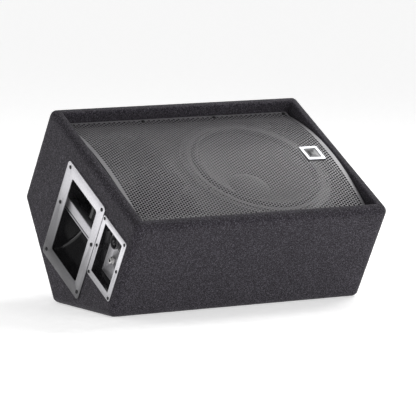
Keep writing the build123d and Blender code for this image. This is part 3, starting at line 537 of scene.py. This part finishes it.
# Plates on the ends, as (u_min, u_max, n_min, n_max), and the pole cup, as (u, n)
HANDLE_PLATE = (118, 280, 40, 260)
HANDLE_MOUTH = (147, 256, 65, 233)
INPUT_PLATE = (281.5, 379, 52, 190)
POLE_CUP = (198, 165)
POLE_CUT = 26  # radius of the hole in the carpet under the pole cup
CUT_MARGIN = 10  # how far the carpet reaches under a plate

# Depths of the roundings' centres at the foot of the sides and along the ridge under the box
heel = SIDE + EDGE_RADIUS * (tan(TILT) - 1 / cos(TILT))
keel = SIDE + SLOPE / 2 * tan(TILT) - EDGE_RADIUS / cos(TILT)


def spaced(start, end, cell=CARPET_CELL):
    """Numbers from start to end, about a cell apart."""
    count = max(1, round(abs(end - start) / cell))
    return [start + (end - start) * step / count for step in range(count + 1)]


def blended(first, second, share):
    """Direction between two offsets of equal length, turned evenly from one to the other."""
    first, second = Vector(first), Vector(second)
    if (first - second).length < 0.01:
        return first
    return first.normalized().slerp(second.normalized(), share) * first.length


def carpet_loop(inset, rear, front, depth, end_out, end_in, side_out, side_in):
    """Loop of carpet points round the box. Its straight runs stand on a rectangle, inset from the
    ends, from u = rear to u = front, at a depth. They are moved out and inward by the offsets."""
    across = spaced(EDGE_RADIUS, LENGTH - EDGE_RADIUS)
    along = spaced(0, 1, 1 / 80)
    x_low, x_high = inset, LENGTH - inset
    squeeze = (x_high - x_low) / (LENGTH - 2 * EDGE_RADIUS)
    rear_row = [(x_low + (x - EDGE_RADIUS) * squeeze, rear) for x in across]
    right_row = [(x_high, rear + (front - rear) * share) for share in along]
    front_row = [(x, front) for x, _ in reversed(rear_row)]
    left_row = [(x_low, u) for _, u in reversed(right_row)]
    rows = [
        (rear_row, (0, -side_out, side_in)),
        (right_row, (end_out, 0, end_in)),
        (front_row, (0, side_out, side_in)),
        (left_row, (-end_out, 0, end_in)),
    ]
    loop = []
    for index, (row, offset) in enumerate(rows):
        following = rows[(index + 1) % 4][1]
        loop.extend((x + offset[0], u + offset[1], depth + offset[2]) for x, u in row)
        for step in range(1, CORNER_STEPS):
            turn = blended(offset, following, step / CORNER_STEPS)
            x, u = row[-1]
            loop.append((x + turn[0], u + turn[1], depth + turn[2]))
    return loop


def carpet_loops():
    """Loops from the foot of the recess over the rim, down the sides and under the box."""
    loops = []

    def inner(inset, depth):
        loops.append(carpet_loop(inset, inset, SLOPE - inset, depth, 0, 0, 0, 0))

    def outer(rear, front, depth, end, side):
        offsets = [EDGE_RADIUS * value for value in (*end, *side)]
        loops.append(carpet_loop(EDGE_RADIUS, rear, front, depth, *offsets))

    for depth in spaced(BAFFLE_FRONT, RECESS_LIP):
        inner(RIM, depth)
    for step in range(1, LIP_STEPS + 1):
        angle = pi / 2 * step / LIP_STEPS
        inner(RIM - RECESS_LIP * (1 - cos(angle)), RECESS_LIP * (1 - sin(angle)))
    edge = (EDGE_RADIUS, SLOPE - EDGE_RADIUS)
    for step in range(EDGE_STEPS + 1):
        angle = pi / 2 * step / EDGE_STEPS
        turn = (sin(angle), -cos(angle))
        outer(*edge, EDGE_RADIUS, turn, turn)
    for depth in spaced(EDGE_RADIUS, heel)[1:]:
        outer(*edge, depth, (1, 0), (1, 0))
    for step in range(1, HEEL_STEPS + 1):
        angle = (pi / 2 - TILT) * step / HEEL_STEPS
        outer(*edge, heel, (1, 0), (cos(angle), sin(angle)))
    half = SLOPE / 2 - EDGE_RADIUS
    for share in spaced(0, 1, CARPET_CELL * cos(TILT) / half)[1:]:
        rear = EDGE_RADIUS + half * share
        outer(rear, SLOPE - rear, heel + (keel - heel) * share, (1, 0), SLOPE_NORMAL)
    for step in range(1, KEEL_STEPS + 1):
        angle = pi / 2 - TILT + TILT * step / KEEL_STEPS
        outer(SLOPE / 2, SLOPE / 2, keel, (1, 0), (cos(angle), sin(angle)))
    return loops


def hidden_by_plate(point):
    """Whether a point of the carpet on an end of the box lies under a plate that stands on it."""
    x, u, n = point
    if x < EDGE_RADIUS / 2:
        plates = [grown(plate, -CUT_MARGIN) for plate in (HANDLE_PLATE, INPUT_PLATE)]
        return any(
            u_min < u < u_max and n_min < n < n_max for u_min, u_max, n_min, n_max in plates
        )
    return x > LENGTH - EDGE_RADIUS / 2 and hypot(u - POLE_CUP[0], n - POLE_CUP[1]) < POLE_CUT


def build_carpet():
    """One skin of carpet over the whole box, with nap that makes it slightly uneven."""
    loops = carpet_loops()
    count = len(loops[0])
    points, faces = [], []
    for loop in loops:
        points.extend(loop)
    for row in range(len(loops) - 1):
        here, below = row * count, (row + 1) * count
        for index in range(count):
            after = (index + 1) % count
            face = (here + index, here + after, below + after, below + index)
            centre = sum((Vector(points[corner]) for corner in face), Vector()) / 4
            if not hidden_by_plate(centre):
                faces.append(face)
    mesh = mesh_from("carpet", [place(*point) for point in points], faces)
    raised = []
    for vertex in mesh.vertices:
        nap = noise.noise(vertex.co / NAP_COARSE) + 0.6 * noise.noise(vertex.co / NAP_FINE)
        raised.extend(vertex.co + vertex.normal * (nap * NAP_HEIGHT - NAP_SINK) * MM)
    mesh.vertices.foreach_set("co", raised)
    mesh = applied(mesh, ("SOLIDIFY", {"thickness": CARPET_THICK * MM, "offset": -1}))
    add_piece("carpet_cover", mesh, [carpet], carpet_nodes)


# --- Grille ---

HOLE_PITCH = 6.56
HOLE_RADIUS = 2.8
HOLE_SIDES = 12
CELL_SIDES = 6
CORNER_GRID = 20  # corners that agree to 1 / CORNER_GRID of a millimetre are one point
SLIVER = 1e-9  # square metres
SHEET_THICK = 0.8
SHEET_EDGE = 23  # distance of the sheet's edges from the rear and front of the slope
SHEET_FOLD = 40  # distance of the arch from them
SHEET_REAR = 24
SHEET_FRONT = 20
SHEET_TOP = 2
SHEET_SHOULDER = 9.5
SHOULDER_HALF = 98
SHEET_END = 24  # x of the sheet's left end at its middle
END_CURVE = 7  # how much further in its ends are along its front and rear edges
PERFORATED = (36, LENGTH - 36)
PROFILE_STEP = 0.5
arch_stations = [SLOPE / 2 + reach for reach in (-SHOULDER_HALF, 0, SHOULDER_HALF)]
arch_stations = [SHEET_FOLD, *arch_stations, SLOPE - SHEET_FOLD]
arch_depths = [SHEET_REAR, SHEET_SHOULDER, SHEET_TOP, SHEET_SHOULDER, SHEET_FRONT]


def arch(u):
    """Depth of the grille at u: a curve through its stations, and flat margins."""
    if u <= SHEET_FOLD:
        return SHEET_REAR
    if u >= SLOPE - SHEET_FOLD:
        return SHEET_FRONT
    depth = 0
    for index, (station, value) in enumerate(zip(arch_stations, arch_depths)):
        for other in arch_stations[:index] + arch_stations[index + 1:]:
            value *= (u - other) / (station - other)
        depth += value
    return depth


def profile_table():
    """Places down the slope and the lengths of sheet from its rear edge to each."""
    count = round((SLOPE - 2 * SHEET_EDGE) / PROFILE_STEP)
    places = [SHEET_EDGE + PROFILE_STEP * step for step in range(count + 1)]
    lengths = [0.0]
    for before, after in zip(places, places[1:]):
        lengths.append(lengths[-1] + hypot(after - before, arch(after) - arch(before)))
    return places, lengths


def build_grille():
    """Perforated sheet. Each hole sits in its own six-sided cell, and the outer cells are plain."""
    places, lengths = profile_table()
    total = lengths[-1]
    step_x = HOLE_PITCH * sqrt(3) / 2
    reach = HOLE_PITCH / sqrt(3)
    columns = ceil(LENGTH / 2 / step_x) + 1
    rows = ceil(total / 2 / HOLE_PITCH) + 1
    corner_index, flat, faces = {}, [], []

    def corner(x, s):
        key = (round(x * CORNER_GRID), round(s * CORNER_GRID))
        if key not in corner_index:
            corner_index[key] = len(flat)
            flat.append((x, s))
        return corner_index[key]

    for column in range(-columns, columns + 1):
        x = LENGTH / 2 + column * step_x
        for row in range(-rows, rows + 1):
            s = total / 2 + (row + 0.5 * (column % 2)) * HOLE_PITCH
            angles = [pi * k / 3 for k in range(CELL_SIDES)]
            rim = [corner(x + reach * cos(angle), s + reach * sin(angle)) for angle in angles]
            holed_here = HOLE_PITCH / 2 < s < total - HOLE_PITCH / 2
            if not (PERFORATED[0] < x < PERFORATED[1] and holed_here):
                faces.append(tuple(rim))
                continue
            ring = []
            for k in range(HOLE_SIDES):
                angle = 2 * pi * k / HOLE_SIDES
                ring.append(len(flat))
                flat.append((x + HOLE_RADIUS * cos(angle), s + HOLE_RADIUS * sin(angle)))
            for k in range(CELL_SIDES):
                inner = (ring[(2 * k + 2) % HOLE_SIDES], ring[2 * k + 1], ring[2 * k])
                faces.append((rim[k], rim[(k + 1) % CELL_SIDES], *inner))
    points = []
    table = list(zip(places, lengths))
    for x, s in flat:
        s = min(max(s, 0.0), total)
        share = min(int(s / total * (len(table) - 1)), len(table) - 2)
        while share and table[share][1] > s:
            share -= 1
        while share < len(table) - 2 and table[share + 1][1] < s:
            share += 1
        (u_low, s_low), (u_high, s_high) = table[share], table[share + 1]
        u = u_low + (u_high - u_low) * (s - s_low) / (s_high - s_low)
        bow = (2 * u / SLOPE - 1) ** 2
        end = SHEET_END + END_CURVE * bow
        points.append(place(min(max(x, end), LENGTH - end), u, arch(u)))
    mesh = mesh_from("grille", points, faces)
    shape = bmesh.new()
    shape.from_mesh(mesh)
    slivers = [face for face in shape.faces if face.calc_area() < SLIVER]
    bmesh.ops.delete(shape, geom=slivers, context="FACES")
    shape.to_mesh(mesh)
    shape.free()
    mesh = applied(mesh, ("SOLIDIFY", {"thickness": SHEET_THICK * MM, "offset": -1}))
    add_piece("grille_sheet", mesh, [grille_paint], ["grille"])


# --- Screws ---

SCREW_STEPS = 32
CROSS_DEPTH = 0.9
SHANK = 1.8
SHANK_POINT = 2
# Rings of a head's top, as (share of its radius, fall as a share of its rise, whether it is in the
# recess). None stands for in the recess only along the arms of the cross.
HEAD_RINGS = [
    (0.12, 0.1, True), (0.28, 0.06, None), (0.55, 0.1, None), (0.62, 0.14, False),
    (0.85, 0.3, False),
]


def screw(point_at, top, rise, radius, length, sign=1):
    """Pan-head screw with a cross recess. Its head's top is at depth top, and its shank runs on
    inward where sign is 1 and outward where it is -1."""
    points = [point_at(0, 0, top + sign * CROSS_DEPTH)]
    for share, fall, recessed in HEAD_RINGS:
        for step in range(SCREW_STEPS):
            in_arm = step % (SCREW_STEPS // 4) in (0, 1, SCREW_STEPS // 4 - 1)
            sunk = recessed or (recessed is None and in_arm)
            depth = CROSS_DEPTH if sunk else fall * rise
            points.append(point_at(radius * share, 2 * pi * step / SCREW_STEPS, top + sign * depth))
    for ring_radius, depth in (
        (radius * 0.97, 0.6 * rise),
        (radius, 0.85 * rise),
        (radius, rise),
        (SHANK, rise),
        (SHANK, rise + length - SHANK_POINT),
    ):
        for step in range(SCREW_STEPS):
            points.append(point_at(ring_radius, 2 * pi * step / SCREW_STEPS, top + sign * depth))
    points.append(point_at(0, 0, top + sign * (rise + length)))
    count = (len(points) - 2) // SCREW_STEPS
    faces = []
    for step in range(SCREW_STEPS):
        after = (step + 1) % SCREW_STEPS
        faces.append((0, 1 + step, 1 + after))
        for ring in range(count - 1):
            first, second = 1 + ring * SCREW_STEPS, 1 + (ring + 1) * SCREW_STEPS
            faces.append((first + step, second + step, second + after, first + after))
        last = 1 + (count - 1) * SCREW_STEPS
        faces.append((last + step, len(points) - 1, last + after))
    return points, faces


def screws_at(axis, places, form, sign=1):
    """Like screws at several places. Their form is (top, rise, radius, length), as screw has it."""
    return [screw(axis(spot), *form, sign) for spot in places]


def add_screws(name, replaced, screws):
    """Set of screws as one piece."""
    add_form(name, gather(screws), screw_black, [replaced])


HANDLE_SCREWS = [(u, n) for u in (130, 270) for n in (50, 133, 247)]
INPUT_SCREWS = [(u, n) for u in (287.5, 373) for n in (58, 121, 184)]
GRILLE_SCREWS = (38.5, 203.5, 368.5, 533.5)
GRILLE_SCREW_U = 30
HORN_SCREWS = [(x, u) for x in (31, 188) for u in (76, 199, 322)]
WOOFER = (377, 198)
BOLT_CIRCLE = 149
POLE_SCREWS = [(POLE_CUP[0] + du, POLE_CUP[1] + dn) for du in (-34, 34) for dn in (-34, 34)]


def build_all_screws():
    """Every screw that shows, outside the box and through the grille."""
    handle = screws_at(end_axis, HANDLE_SCREWS, (-4, 1.5, 4, 14))
    plate = screws_at(end_axis, INPUT_SCREWS, (-3.2, 1.2, 3.4, 12))
    pole = screws_at(end_axis, POLE_SCREWS, (LENGTH + 4, 1.5, 4, 12), -1)
    flange = screws_at(face_axis, HORN_SCREWS, (26, 2, 3.5, 18))
    angles = [pi / 4 * (index + 0.5) for index in range(8)]
    ring = [
        (WOOFER[0] + BOLT_CIRCLE * cos(angle), WOOFER[1] + BOLT_CIRCLE * sin(angle))
        for angle in angles
    ]
    bolts = screws_at(face_axis, ring, (28.5, 1.5, 4, 26))
    sheet = [
        screw(face_axis((x, u)), depth - 2, 2, 4, 7)
        for u, depth in ((GRILLE_SCREW_U, SHEET_REAR), (SLOPE - GRILLE_SCREW_U, SHEET_FRONT))
        for x in GRILLE_SCREWS
    ]
    add_screws("handle_screw_set", "handle_screws", handle)
    add_screws("input_screw_set", "input_screws", plate)
    add_screws("pole_screw_set", "pole_cup_screws", pole)
    add_screws("horn_screw_set", "horn_screws", flange)
    add_screws("woofer_bolt_set", "woofer_bolts", bolts)
    add_screws("grille_screw_set", "grille_screws", sheet)


# --- Rounded rectangles and lofts ---

ROUND_STEPS = 8


def rounded(limits, radius):
    """Points round a rounded rectangle with limits (a_min, a_max, b_min, b_max)."""
    a_min, a_max, b_min, b_max = limits
    points = []
    for a, b, start in (
        (a_max - radius, b_max - radius, 0),
        (a_min + radius, b_max - radius, 1),
        (a_min + radius, b_min + radius, 2),
        (a_max - radius, b_min + radius, 3),
    ):
        for step in range(ROUND_STEPS + 1):
            angle = pi / 2 * (start + step / ROUND_STEPS)
            points.append((a + radius * cos(angle), b + radius * sin(angle)))
    return points


def grown(limits, reach):
    """Limits moved out by reach on all four sides."""
    return (limits[0] - reach, limits[1] + reach, limits[2] - reach, limits[3] + reach)


def around(centre, half_a, half_b):
    """Limits of a rectangle about its centre."""
    return (centre[0] - half_a, centre[0] + half_a, centre[1] - half_b, centre[1] + half_b)


def lofted(rings, point_at, closed=True):
    """Points and faces through rings of (limits, radius, depth), closed on itself or capped."""
    points = [
        point_at(a, b, depth)
        for limits, radius, depth in rings
        for a, b in rounded(limits, radius)
    ]
    count = 4 * (ROUND_STEPS + 1)
    return points, skin(len(rings), count, len(rings) if closed else len(rings) - 1)


def on_end(a, b, depth):
    """Point at (u, n, x)."""
    return place(depth, a, b)


# --- Badge ---

BADGE = (480, 522, 176, 220)
BADGE_BACK = 1.9
BADGE_THICK = 2
BADGE_BORDER = 7
BADGE_SINK = 0.8


def build_badge():
    """Plain plate: a bright rounded frame round a dark sunken field."""
    front = BADGE_BACK - BADGE_THICK
    inner = grown(BADGE, -BADGE_BORDER)
    frame_rings = [
        (BADGE, 3, BADGE_BACK),
        (BADGE, 3, front + 0.5),
        (grown(BADGE, -0.5), 2.6, front),
        (grown(inner, 0.4), 1.4, front),
        (inner, 1, front + 0.4),
        (inner, 1, BADGE_BACK),
    ]
    add_form("badge_rim", lofted(frame_rings, place), badge_frame, ["grille_badge"])
    field_rings = [
        (inner, 1, BADGE_BACK),
        (inner, 1, front + BADGE_SINK + 0.2),
        (grown(inner, -0.2), 1, front + BADGE_SINK),
        (grown(inner, -8), 0.8, front + BADGE_SINK),
        (grown(inner, -8.5), 0.8, front + BADGE_SINK - 0.3),
    ]
    add_form("badge_panel", lofted(field_rings, place, closed=False), badge_field, [])


# --- Handle ---

BAR_FACE = 4
BAR_BACK = 22
BAR_EDGE = (114, 141)
BOWL_DEPTH = 65
BOWL_WALL = 2
BOWL_FILLET = 7
FILLET_STEPS = 6
BOWL_STEPS = 40


def build_bowl():
    """Half-elliptic hollow whose flat ends run into it over a fillet."""
    u_min, u_max, n_min, n_max = HANDLE_MOUTH
    middle, half = (n_min + n_max) / 2, (n_max - n_min) / 2
    angles = [pi / 2 * step / FILLET_STEPS for step in range(FILLET_STEPS + 1)]
    ends = [(BOWL_FILLET * (1 - cos(angle)), BOWL_FILLET * (1 - sin(angle))) for angle in angles]
    slices = [(u_min + along, inset) for along, inset in ends]
    slices += [(u_max - along, inset) for along, inset in reversed(ends)]
    points = []
    for u, inset in slices:
        for step in range(BOWL_STEPS + 1):
            turn = pi * step / BOWL_STEPS
            x = (BOWL_DEPTH - inset) * sin(turn)
            points.append(place(x, u, middle - (half - inset) * cos(turn)))
    count, row = len(slices), BOWL_STEPS + 1
    for index in range(count):
        u = u_min - BOWL_WALL + (u_max - u_min + 2 * BOWL_WALL) * index / (count - 1)
        for step in range(row):
            turn = pi * step / BOWL_STEPS
            x = (BOWL_DEPTH + BOWL_WALL) * sin(turn)
            points.append(place(x, u, middle - (half + BOWL_WALL) * cos(turn)))
    faces = []
    outer = count * row
    for index in range(count - 1):
        here, after = index * row, (index + 1) * row
        for step in range(BOWL_STEPS):
            face = (here + step, here + step + 1, after + step + 1, after + step)
            faces.append(face)
            faces.append(tuple(outer + corner for corner in face))
        for edge in (0, BOWL_STEPS):
            faces.append((here + edge, after + edge, outer + after + edge, outer + here + edge))
    for here in (0, (count - 1) * row):
        faces.append(tuple(range(here, here + row)))
        faces.append(tuple(range(outer + here, outer + here + row)))
        faces.append((here, here + BOWL_STEPS, outer + here + BOWL_STEPS, outer + here))
    add_form("handle_bowl", (points, faces), handle_black, ["handle_cup"])


def build_handle():
    """Stamped frame, glossy cup and a grip with a lip along its lower edge."""
    refine("handle_frame", "handle_plate", 0.7, [handle_metal])
    build_bowl()
    low, high = BAR_EDGE
    section = [
        (low + 1.2, BAR_FACE), (high - 8, BAR_FACE), (high - 7, BAR_FACE + 1),
        (high - 7, BAR_FACE + 5), (high - 4, BAR_FACE + 5), (high - 4, BAR_FACE + 2),
        (high - 3, BAR_FACE + 1), (high - 1.2, BAR_FACE + 1), (high, BAR_FACE + 2.5),
        (high, BAR_BACK - 5), (high - 1.5, BAR_BACK - 1.5), (high - 5, BAR_BACK),
        (low + 5, BAR_BACK), (low + 1.5, BAR_BACK - 1.5), (low, BAR_BACK - 5),
        (low, BAR_FACE + 1.2),
    ]
    points = [place(x, u, n) for u in HANDLE_MOUTH[:2] for n, x in section]
    mesh = softened(mesh_from("handle_grip", points, skin(2, len(section), 1)), 0.35)
    add_piece("handle_grip", mesh, [handle_metal], ["handle_bar"])


# --- Input panel ---

INPUT_FLOOR = 23
JACK_FACE = INPUT_FLOOR + 2.2
SOCKET = (320, 92)
COLLAR = 12.9  # radius of the hole in the socket's flange
# The socket's post, bottom and collar, as (radius, depth from the dish's floor)
SOCKET_OUTLINE = [
    (2.4, -11), (4.4, -12), (5, -11.4), (5, 13), (11.5, 13), (11.5, -11.2), (12, -12), (13, -12),
    (13.5, -11.4), (13.5, -2.5), (12.8, -2.5), (12.8, 16), (2.4, 16),
]


def darken(piece, is_dark):
    """Gives the second material to faces whose x passes a test."""
    for face in piece.data.polygons:
        if is_dark((face.center.x - top_edge.x) / MM):
            face.material_index = 1


def build_input():
    """Dish with a bright plate and floor and dark walls, and the sockets in it."""
    dish = refine("input_dish", "input_plate", 0.6, [input_metal, handle_black])
    darken(dish, lambda x: 0.2 < x < INPUT_FLOOR - 0.7 or x > INPUT_FLOOR + 0.5)
    outline = [(radius, INPUT_FLOOR + rise) for radius, rise in SOCKET_OUTLINE]
    flange = around(SOCKET, 15.5, 13.5)
    hole = around(SOCKET, COLLAR, COLLAR)
    flange_rings = [
        (flange, 3, INPUT_FLOOR),
        (flange, 3, INPUT_FLOOR - 2),
        (grown(flange, -0.5), 2.6, INPUT_FLOOR - 2.5),
        (hole, COLLAR - 0.05, INPUT_FLOOR - 2.5),
        (hole, COLLAR - 0.05, INPUT_FLOOR),
    ]
    shell = gather([turned(end_axis(SOCKET), outline), lofted(flange_rings, on_end)])
    add_form("speaker_socket_shell", shell, socket_black, ["speaker_socket"])
    jack = refine("jack_socket", "jack_shell", 0.4, [nickel, socket_black])
    darken(jack, lambda x: x > JACK_FACE)
    refine("jack_nut", "jack_hex_nut", 0.4, [nickel])


# --- Woofer ---

FLANGE_FRONT = 30
CONE_RADIUS = 119
CONE_EDGE = CONE_RADIUS - 4
CONE_NECK = FLANGE_FRONT + 50
CONE_SHEET = 1.4
CONE_BOW = 1.5
CONE_RIBS = (58, 74, 90, 104)
RIB_PRESS = 0.7
RIB_HALF = 1.6
COIL_RADIUS = 32.7
CAP_RADIUS = 42
CAP_RISE = 16
SURROUND_RADIUS = 133
SURROUND_EDGE = 143
SURROUND_LAP = CONE_RADIUS - 5
ROLL_STEPS = 24
SPIDER_FRONT = 88.4
SPIDER_NECK = 5  # how far its neck stands up the former
SPIDER_SHEET = 0.8
SPIDER_START = COIL_RADIUS + 0.2
SPIDER_FOLDS = (36, 66)
FOLD_HEIGHT = 1.3
FOLD_HALF = 3.5
SPIDER_SEAT = [68, 74]


def ribbed(radius):
    """Depth of the cone's front at a radius, with shallow ribs pressed into it."""
    share = (CONE_EDGE - radius) / (CONE_EDGE - COIL_RADIUS)
    press = sum(RIB_PRESS / (1 + ((radius - rib) / RIB_HALF) ** 4) for rib in CONE_RIBS)
    bow = CONE_BOW * sin(pi * share)
    return FLANGE_FRONT + (CONE_NECK - FLANGE_FRONT) * share + bow - press


def around_woofer(outline):
    """Points and faces of an outline turned finely about the woofer's axis."""
    return turned(face_axis(WOOFER), outline, 128)


def build_cone():
    """Ribbed paper cone and domed cap."""
    steps = [CONE_EDGE - (CONE_EDGE - COIL_RADIUS) * step / 60 for step in range(61)]
    outline = [(CONE_RADIUS, FLANGE_FRONT + 1), (CONE_RADIUS, FLANGE_FRONT)]
    outline += [(radius, ribbed(radius)) for radius in steps]
    outline += [(radius, ribbed(radius) + CONE_SHEET) for radius in reversed(steps)]
    paper = around_woofer(outline)
    add_form("woofer_cone_paper", paper, cone_pulp, ["woofer_cone"], "cone")

    top = ribbed(CAP_RADIUS) - 0.4 - CAP_RISE
    sphere = (CAP_RADIUS**2 + CAP_RISE**2) / (2 * CAP_RISE)
    arc = [CAP_RADIUS * step / 16 for step in range(17)]
    front = [(radius, top + sphere - sqrt(sphere**2 - radius**2)) for radius in arc]
    outline = front + [(radius, depth + 1) for radius, depth in reversed(front)]
    cap = turned(face_axis(WOOFER), outline)
    add_form("woofer_cap", cap, cone_pulp, ["dust_cap"], "cone")


def build_suspension():
    """Rolled surround and corrugated spider. The spider and the surround's inner half are left
    unattached, but the surround's outer half, from the crest of its roll, stays on the basket,
    riding on the cabinet."""
    middle = (CONE_RADIUS + SURROUND_RADIUS) / 2
    roll = (SURROUND_RADIUS - CONE_RADIUS) / 2
    angles = [pi * step / ROLL_STEPS for step in range(ROLL_STEPS + 1)]

    def rolled(radius, depth):
        return [(middle - radius * cos(angle), depth - radius * sin(angle)) for angle in angles]

    over = rolled(roll, FLANGE_FRONT - 1)
    under = rolled(roll - 0.9, FLANGE_FRONT - 0.6)
    crest = ROLL_STEPS // 2
    inner = [(SURROUND_LAP, FLANGE_FRONT - 0.2), (CONE_RADIUS - 0.8, FLANGE_FRONT - 0.2)]
    inner += over[: crest + 1] + under[crest::-1]
    inner += [(CONE_RADIUS, FLANGE_FRONT), (SURROUND_LAP, FLANGE_FRONT)]
    inner = around_woofer(inner)
    replaced = ["woofer_surround"]
    flexing = add_form("woofer_roll_inner", inner, surround_cloth, replaced, None)
    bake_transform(flexing)
    edge = [(SURROUND_EDGE, FLANGE_FRONT - 1), (SURROUND_EDGE, FLANGE_FRONT)]
    outer = around_woofer(over[crest:] + edge + under[: crest - 1 : -1])
    add_form("woofer_roll_outer", outer, surround_cloth, [])

    rest = SPIDER_FRONT
    first, last = SPIDER_FOLDS
    front = [(SPIDER_START, rest + SPIDER_NECK)]
    for radius in [SPIDER_START] + [35 + step * 0.6 for step in range(53)] + SPIDER_SEAT:
        folded = first < radius < last
        wave = FOLD_HEIGHT * sin((radius - first) / FOLD_HALF * pi) if folded else 0
        front.append((radius, rest + wave))
    back = [
        (radius + (SPIDER_SHEET if depth > rest + 4 else 0), depth + SPIDER_SHEET)
        for radius, depth in front
    ]
    cloth = around_woofer(front + back[::-1])
    replaced = ["woofer_spider"]
    spider = add_form("woofer_spider_cloth", cloth, spider_cloth, replaced, None)
    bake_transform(spider)


def build_woofer():
    """Moving parts and suspension, and the CAD's basket, gasket, magnet and plates refined."""
    build_cone()
    build_suspension()
    refine("woofer_basket", "woofer_frame", 0.8, [basket_paint])
    refine("woofer_gasket", "woofer_gasket_ring", 0.5, [gasket_fibre])
    refine("woofer_magnet", "woofer_ferrite_ring", 1.2, [ferrite])
    refine("woofer_top_plate", "woofer_front_plate", 0.8, [zinc])
    refine("woofer_back_plate", "woofer_pole_piece", 1.0, [zinc])


# --- Horn ---

HORN = (108, 199)
HORN_FRONT = 28
HORN_WALL = 3
HORN_FLANGE = (27, 195, 57, 341)
FLANGE_CORNER = 10
# Sections of the horn's inside, as (width, height, corner radius, depth)
HORN_MOUTH = (136, 256, 18, HORN_FRONT)
HORN_WAIST = (86, 132, 16, 72)
HORN_NECK = (26, 26, 12.9, 138)
WAIST_EASE = 8  # how far either side of the waist its crease is eased over
JOINT_REACH = 9
JOINT_THICK = 3
DRIVER_RADIUS = 36
HORN_CELL = 4


def horn_section(depth, reach=0):
    """Ring of the horn at a depth, grown by reach, with its waist eased over."""
    sizes = []
    for shift in (-WAIST_EASE, 0, WAIST_EASE):
        at = min(max(depth + shift, HORN_MOUTH[3]), HORN_NECK[3])
        first, second = (HORN_MOUTH, HORN_WAIST) if at < HORN_WAIST[3] else (HORN_WAIST, HORN_NECK)
        share = (at - first[3]) / (second[3] - first[3])
        sizes.append([a + (b - a) * share for a, b in zip(first[:3], second[:3])])
    width, height, radius = (sum(values) / 3 for values in zip(*sizes))
    return grown(around(HORN, width / 2, height / 2), reach), radius + reach, depth


def build_horn():
    """Two mouldings: the flared mouth with its flange, and the neck that carries the driver."""
    waist, neck = HORN_WAIST[3], HORN_NECK[3]
    joint = horn_section(waist, JOINT_REACH)[:2]
    disc = (around(HORN, DRIVER_RADIUS, DRIVER_RADIUS), DRIVER_RADIUS - 0.01)
    flare = [
        (HORN_FLANGE, FLANGE_CORNER, HORN_FRONT + 5),
        (HORN_FLANGE, FLANGE_CORNER, HORN_FRONT + 0.8),
        (grown(HORN_FLANGE, -0.8), FLANGE_CORNER - 0.6, HORN_FRONT),
        (grown(horn_section(HORN_FRONT)[0], 1.2), HORN_MOUTH[2] + 1, HORN_FRONT),
    ]
    flare += [horn_section(depth) for depth in spaced(HORN_FRONT + 1, waist, HORN_CELL)]
    flare += [(*joint, waist), (*joint, waist - JOINT_THICK)]
    back = spaced(waist - JOINT_THICK, HORN_FRONT + 5, HORN_CELL)
    flare += [horn_section(depth, HORN_WALL) for depth in back]
    add_form("horn_flare", lofted(flare, place), moulding, ["horn"])
    throat = [horn_section(depth) for depth in spaced(waist, neck, HORN_CELL)]
    throat += [(*disc, neck), (*disc, neck - 4)]
    back = spaced(neck - 4, waist + JOINT_THICK, HORN_CELL)
    throat += [horn_section(depth, HORN_WALL) for depth in back]
    throat += [(*joint, waist + JOINT_THICK), (*joint, waist)]
    add_form("horn_neck", lofted(throat, place), moulding, ["horn_throat"])
    refine("driver_body", "driver_motor", 1.5, [basket_paint])
    refine("driver_cover", "driver_cap", 0.6, [moulding])


# --- Ports ---

PORTS = {"rear": (512, 64), "front": (512, 332)}
PORT_BORE = 22
PORT_OUTER = 24
PORT_FLANGE = 26
PORT_END = 118
PORT_LIP = 3
PORT_STAND = BAFFLE_FRONT - 2


def build_ports():
    """Reflex tubes with a rounded lip at the baffle."""
    for side, spot in PORTS.items():
        lip = [
            (PORT_BORE + PORT_LIP * (1 - cos(angle)), PORT_STAND + PORT_LIP * (1 - sin(angle)))
            for angle in [pi / 2 * step / 6 for step in range(7)]
        ]
        outline = lip + [
            (PORT_FLANGE, PORT_STAND),
            (PORT_FLANGE, BAFFLE_FRONT),
            (PORT_OUTER, BAFFLE_FRONT),
            (PORT_OUTER, PORT_END),
            (PORT_BORE, PORT_END),
        ]
        tube = turned(face_axis(spot), outline, 64)
        add_form(f"port_{side}", tube, moulding, [f"port_tube_{side}"])


# --- Wadding ---

PUFF = 2.5
WADDING_VOXEL = 6 * MM


def build_wadding():
    """Loose wadding: the pads' shape, remeshed and puffed unevenly."""
    mesh = nodes["damping_pads"].data.copy()
    mesh = applied(mesh, ("REMESH", {"mode": "VOXEL", "voxel_size": WADDING_VOXEL}))
    mesh = applied(mesh, ("SMOOTH", {"factor": 0.5, "iterations": 6}))
    raised = []
    for vertex in mesh.vertices:
        puff = noise.noise(vertex.co / (45 * MM)) + 0.5 * noise.noise(vertex.co / (14 * MM))
        raised.extend(vertex.co + vertex.normal * (puff * PUFF - PUFF) * MM)
    mesh.vertices.foreach_set("co", raised)
    pads = add_piece("wadding_pads", mesh, [wadding], ["damping_pads"])


build_carpet()
build_grille()
build_all_screws()
build_badge()
build_handle()
build_input()
build_woofer()
build_horn()
build_ports()
refine("pole_cup", "pole_socket", 0.9, [moulding])
build_wadding()

# --- Floor ---

FLOOR_HALF = 40  # metres
FLOOR_GLOW = 0.5  # brings the floor up to the photo's white background

floor_material = finish("floor", (0.95, 0.95, 0.95), 0.7, grain=4, variation=0.01, depth=0.01)
floor_shader = floor_material.node_tree.nodes["Principled BSDF"]
floor_shader.inputs["Emission Color"].default_value = (1, 1, 1, 1)
floor_shader.inputs["Emission Strength"].default_value = FLOOR_GLOW
floor_mesh = bpy.data.meshes.new("floor")
corners = [(x * FLOOR_HALF, y * FLOOR_HALF, 0) for x, y in ((-1, -1), (1, -1), (1, 1), (-1, 1))]
floor_mesh.from_pydata(corners, [], [(0, 1, 2, 3)])
floor_mesh.materials.append(floor_material)
floor = in_scene("floor", floor_mesh)
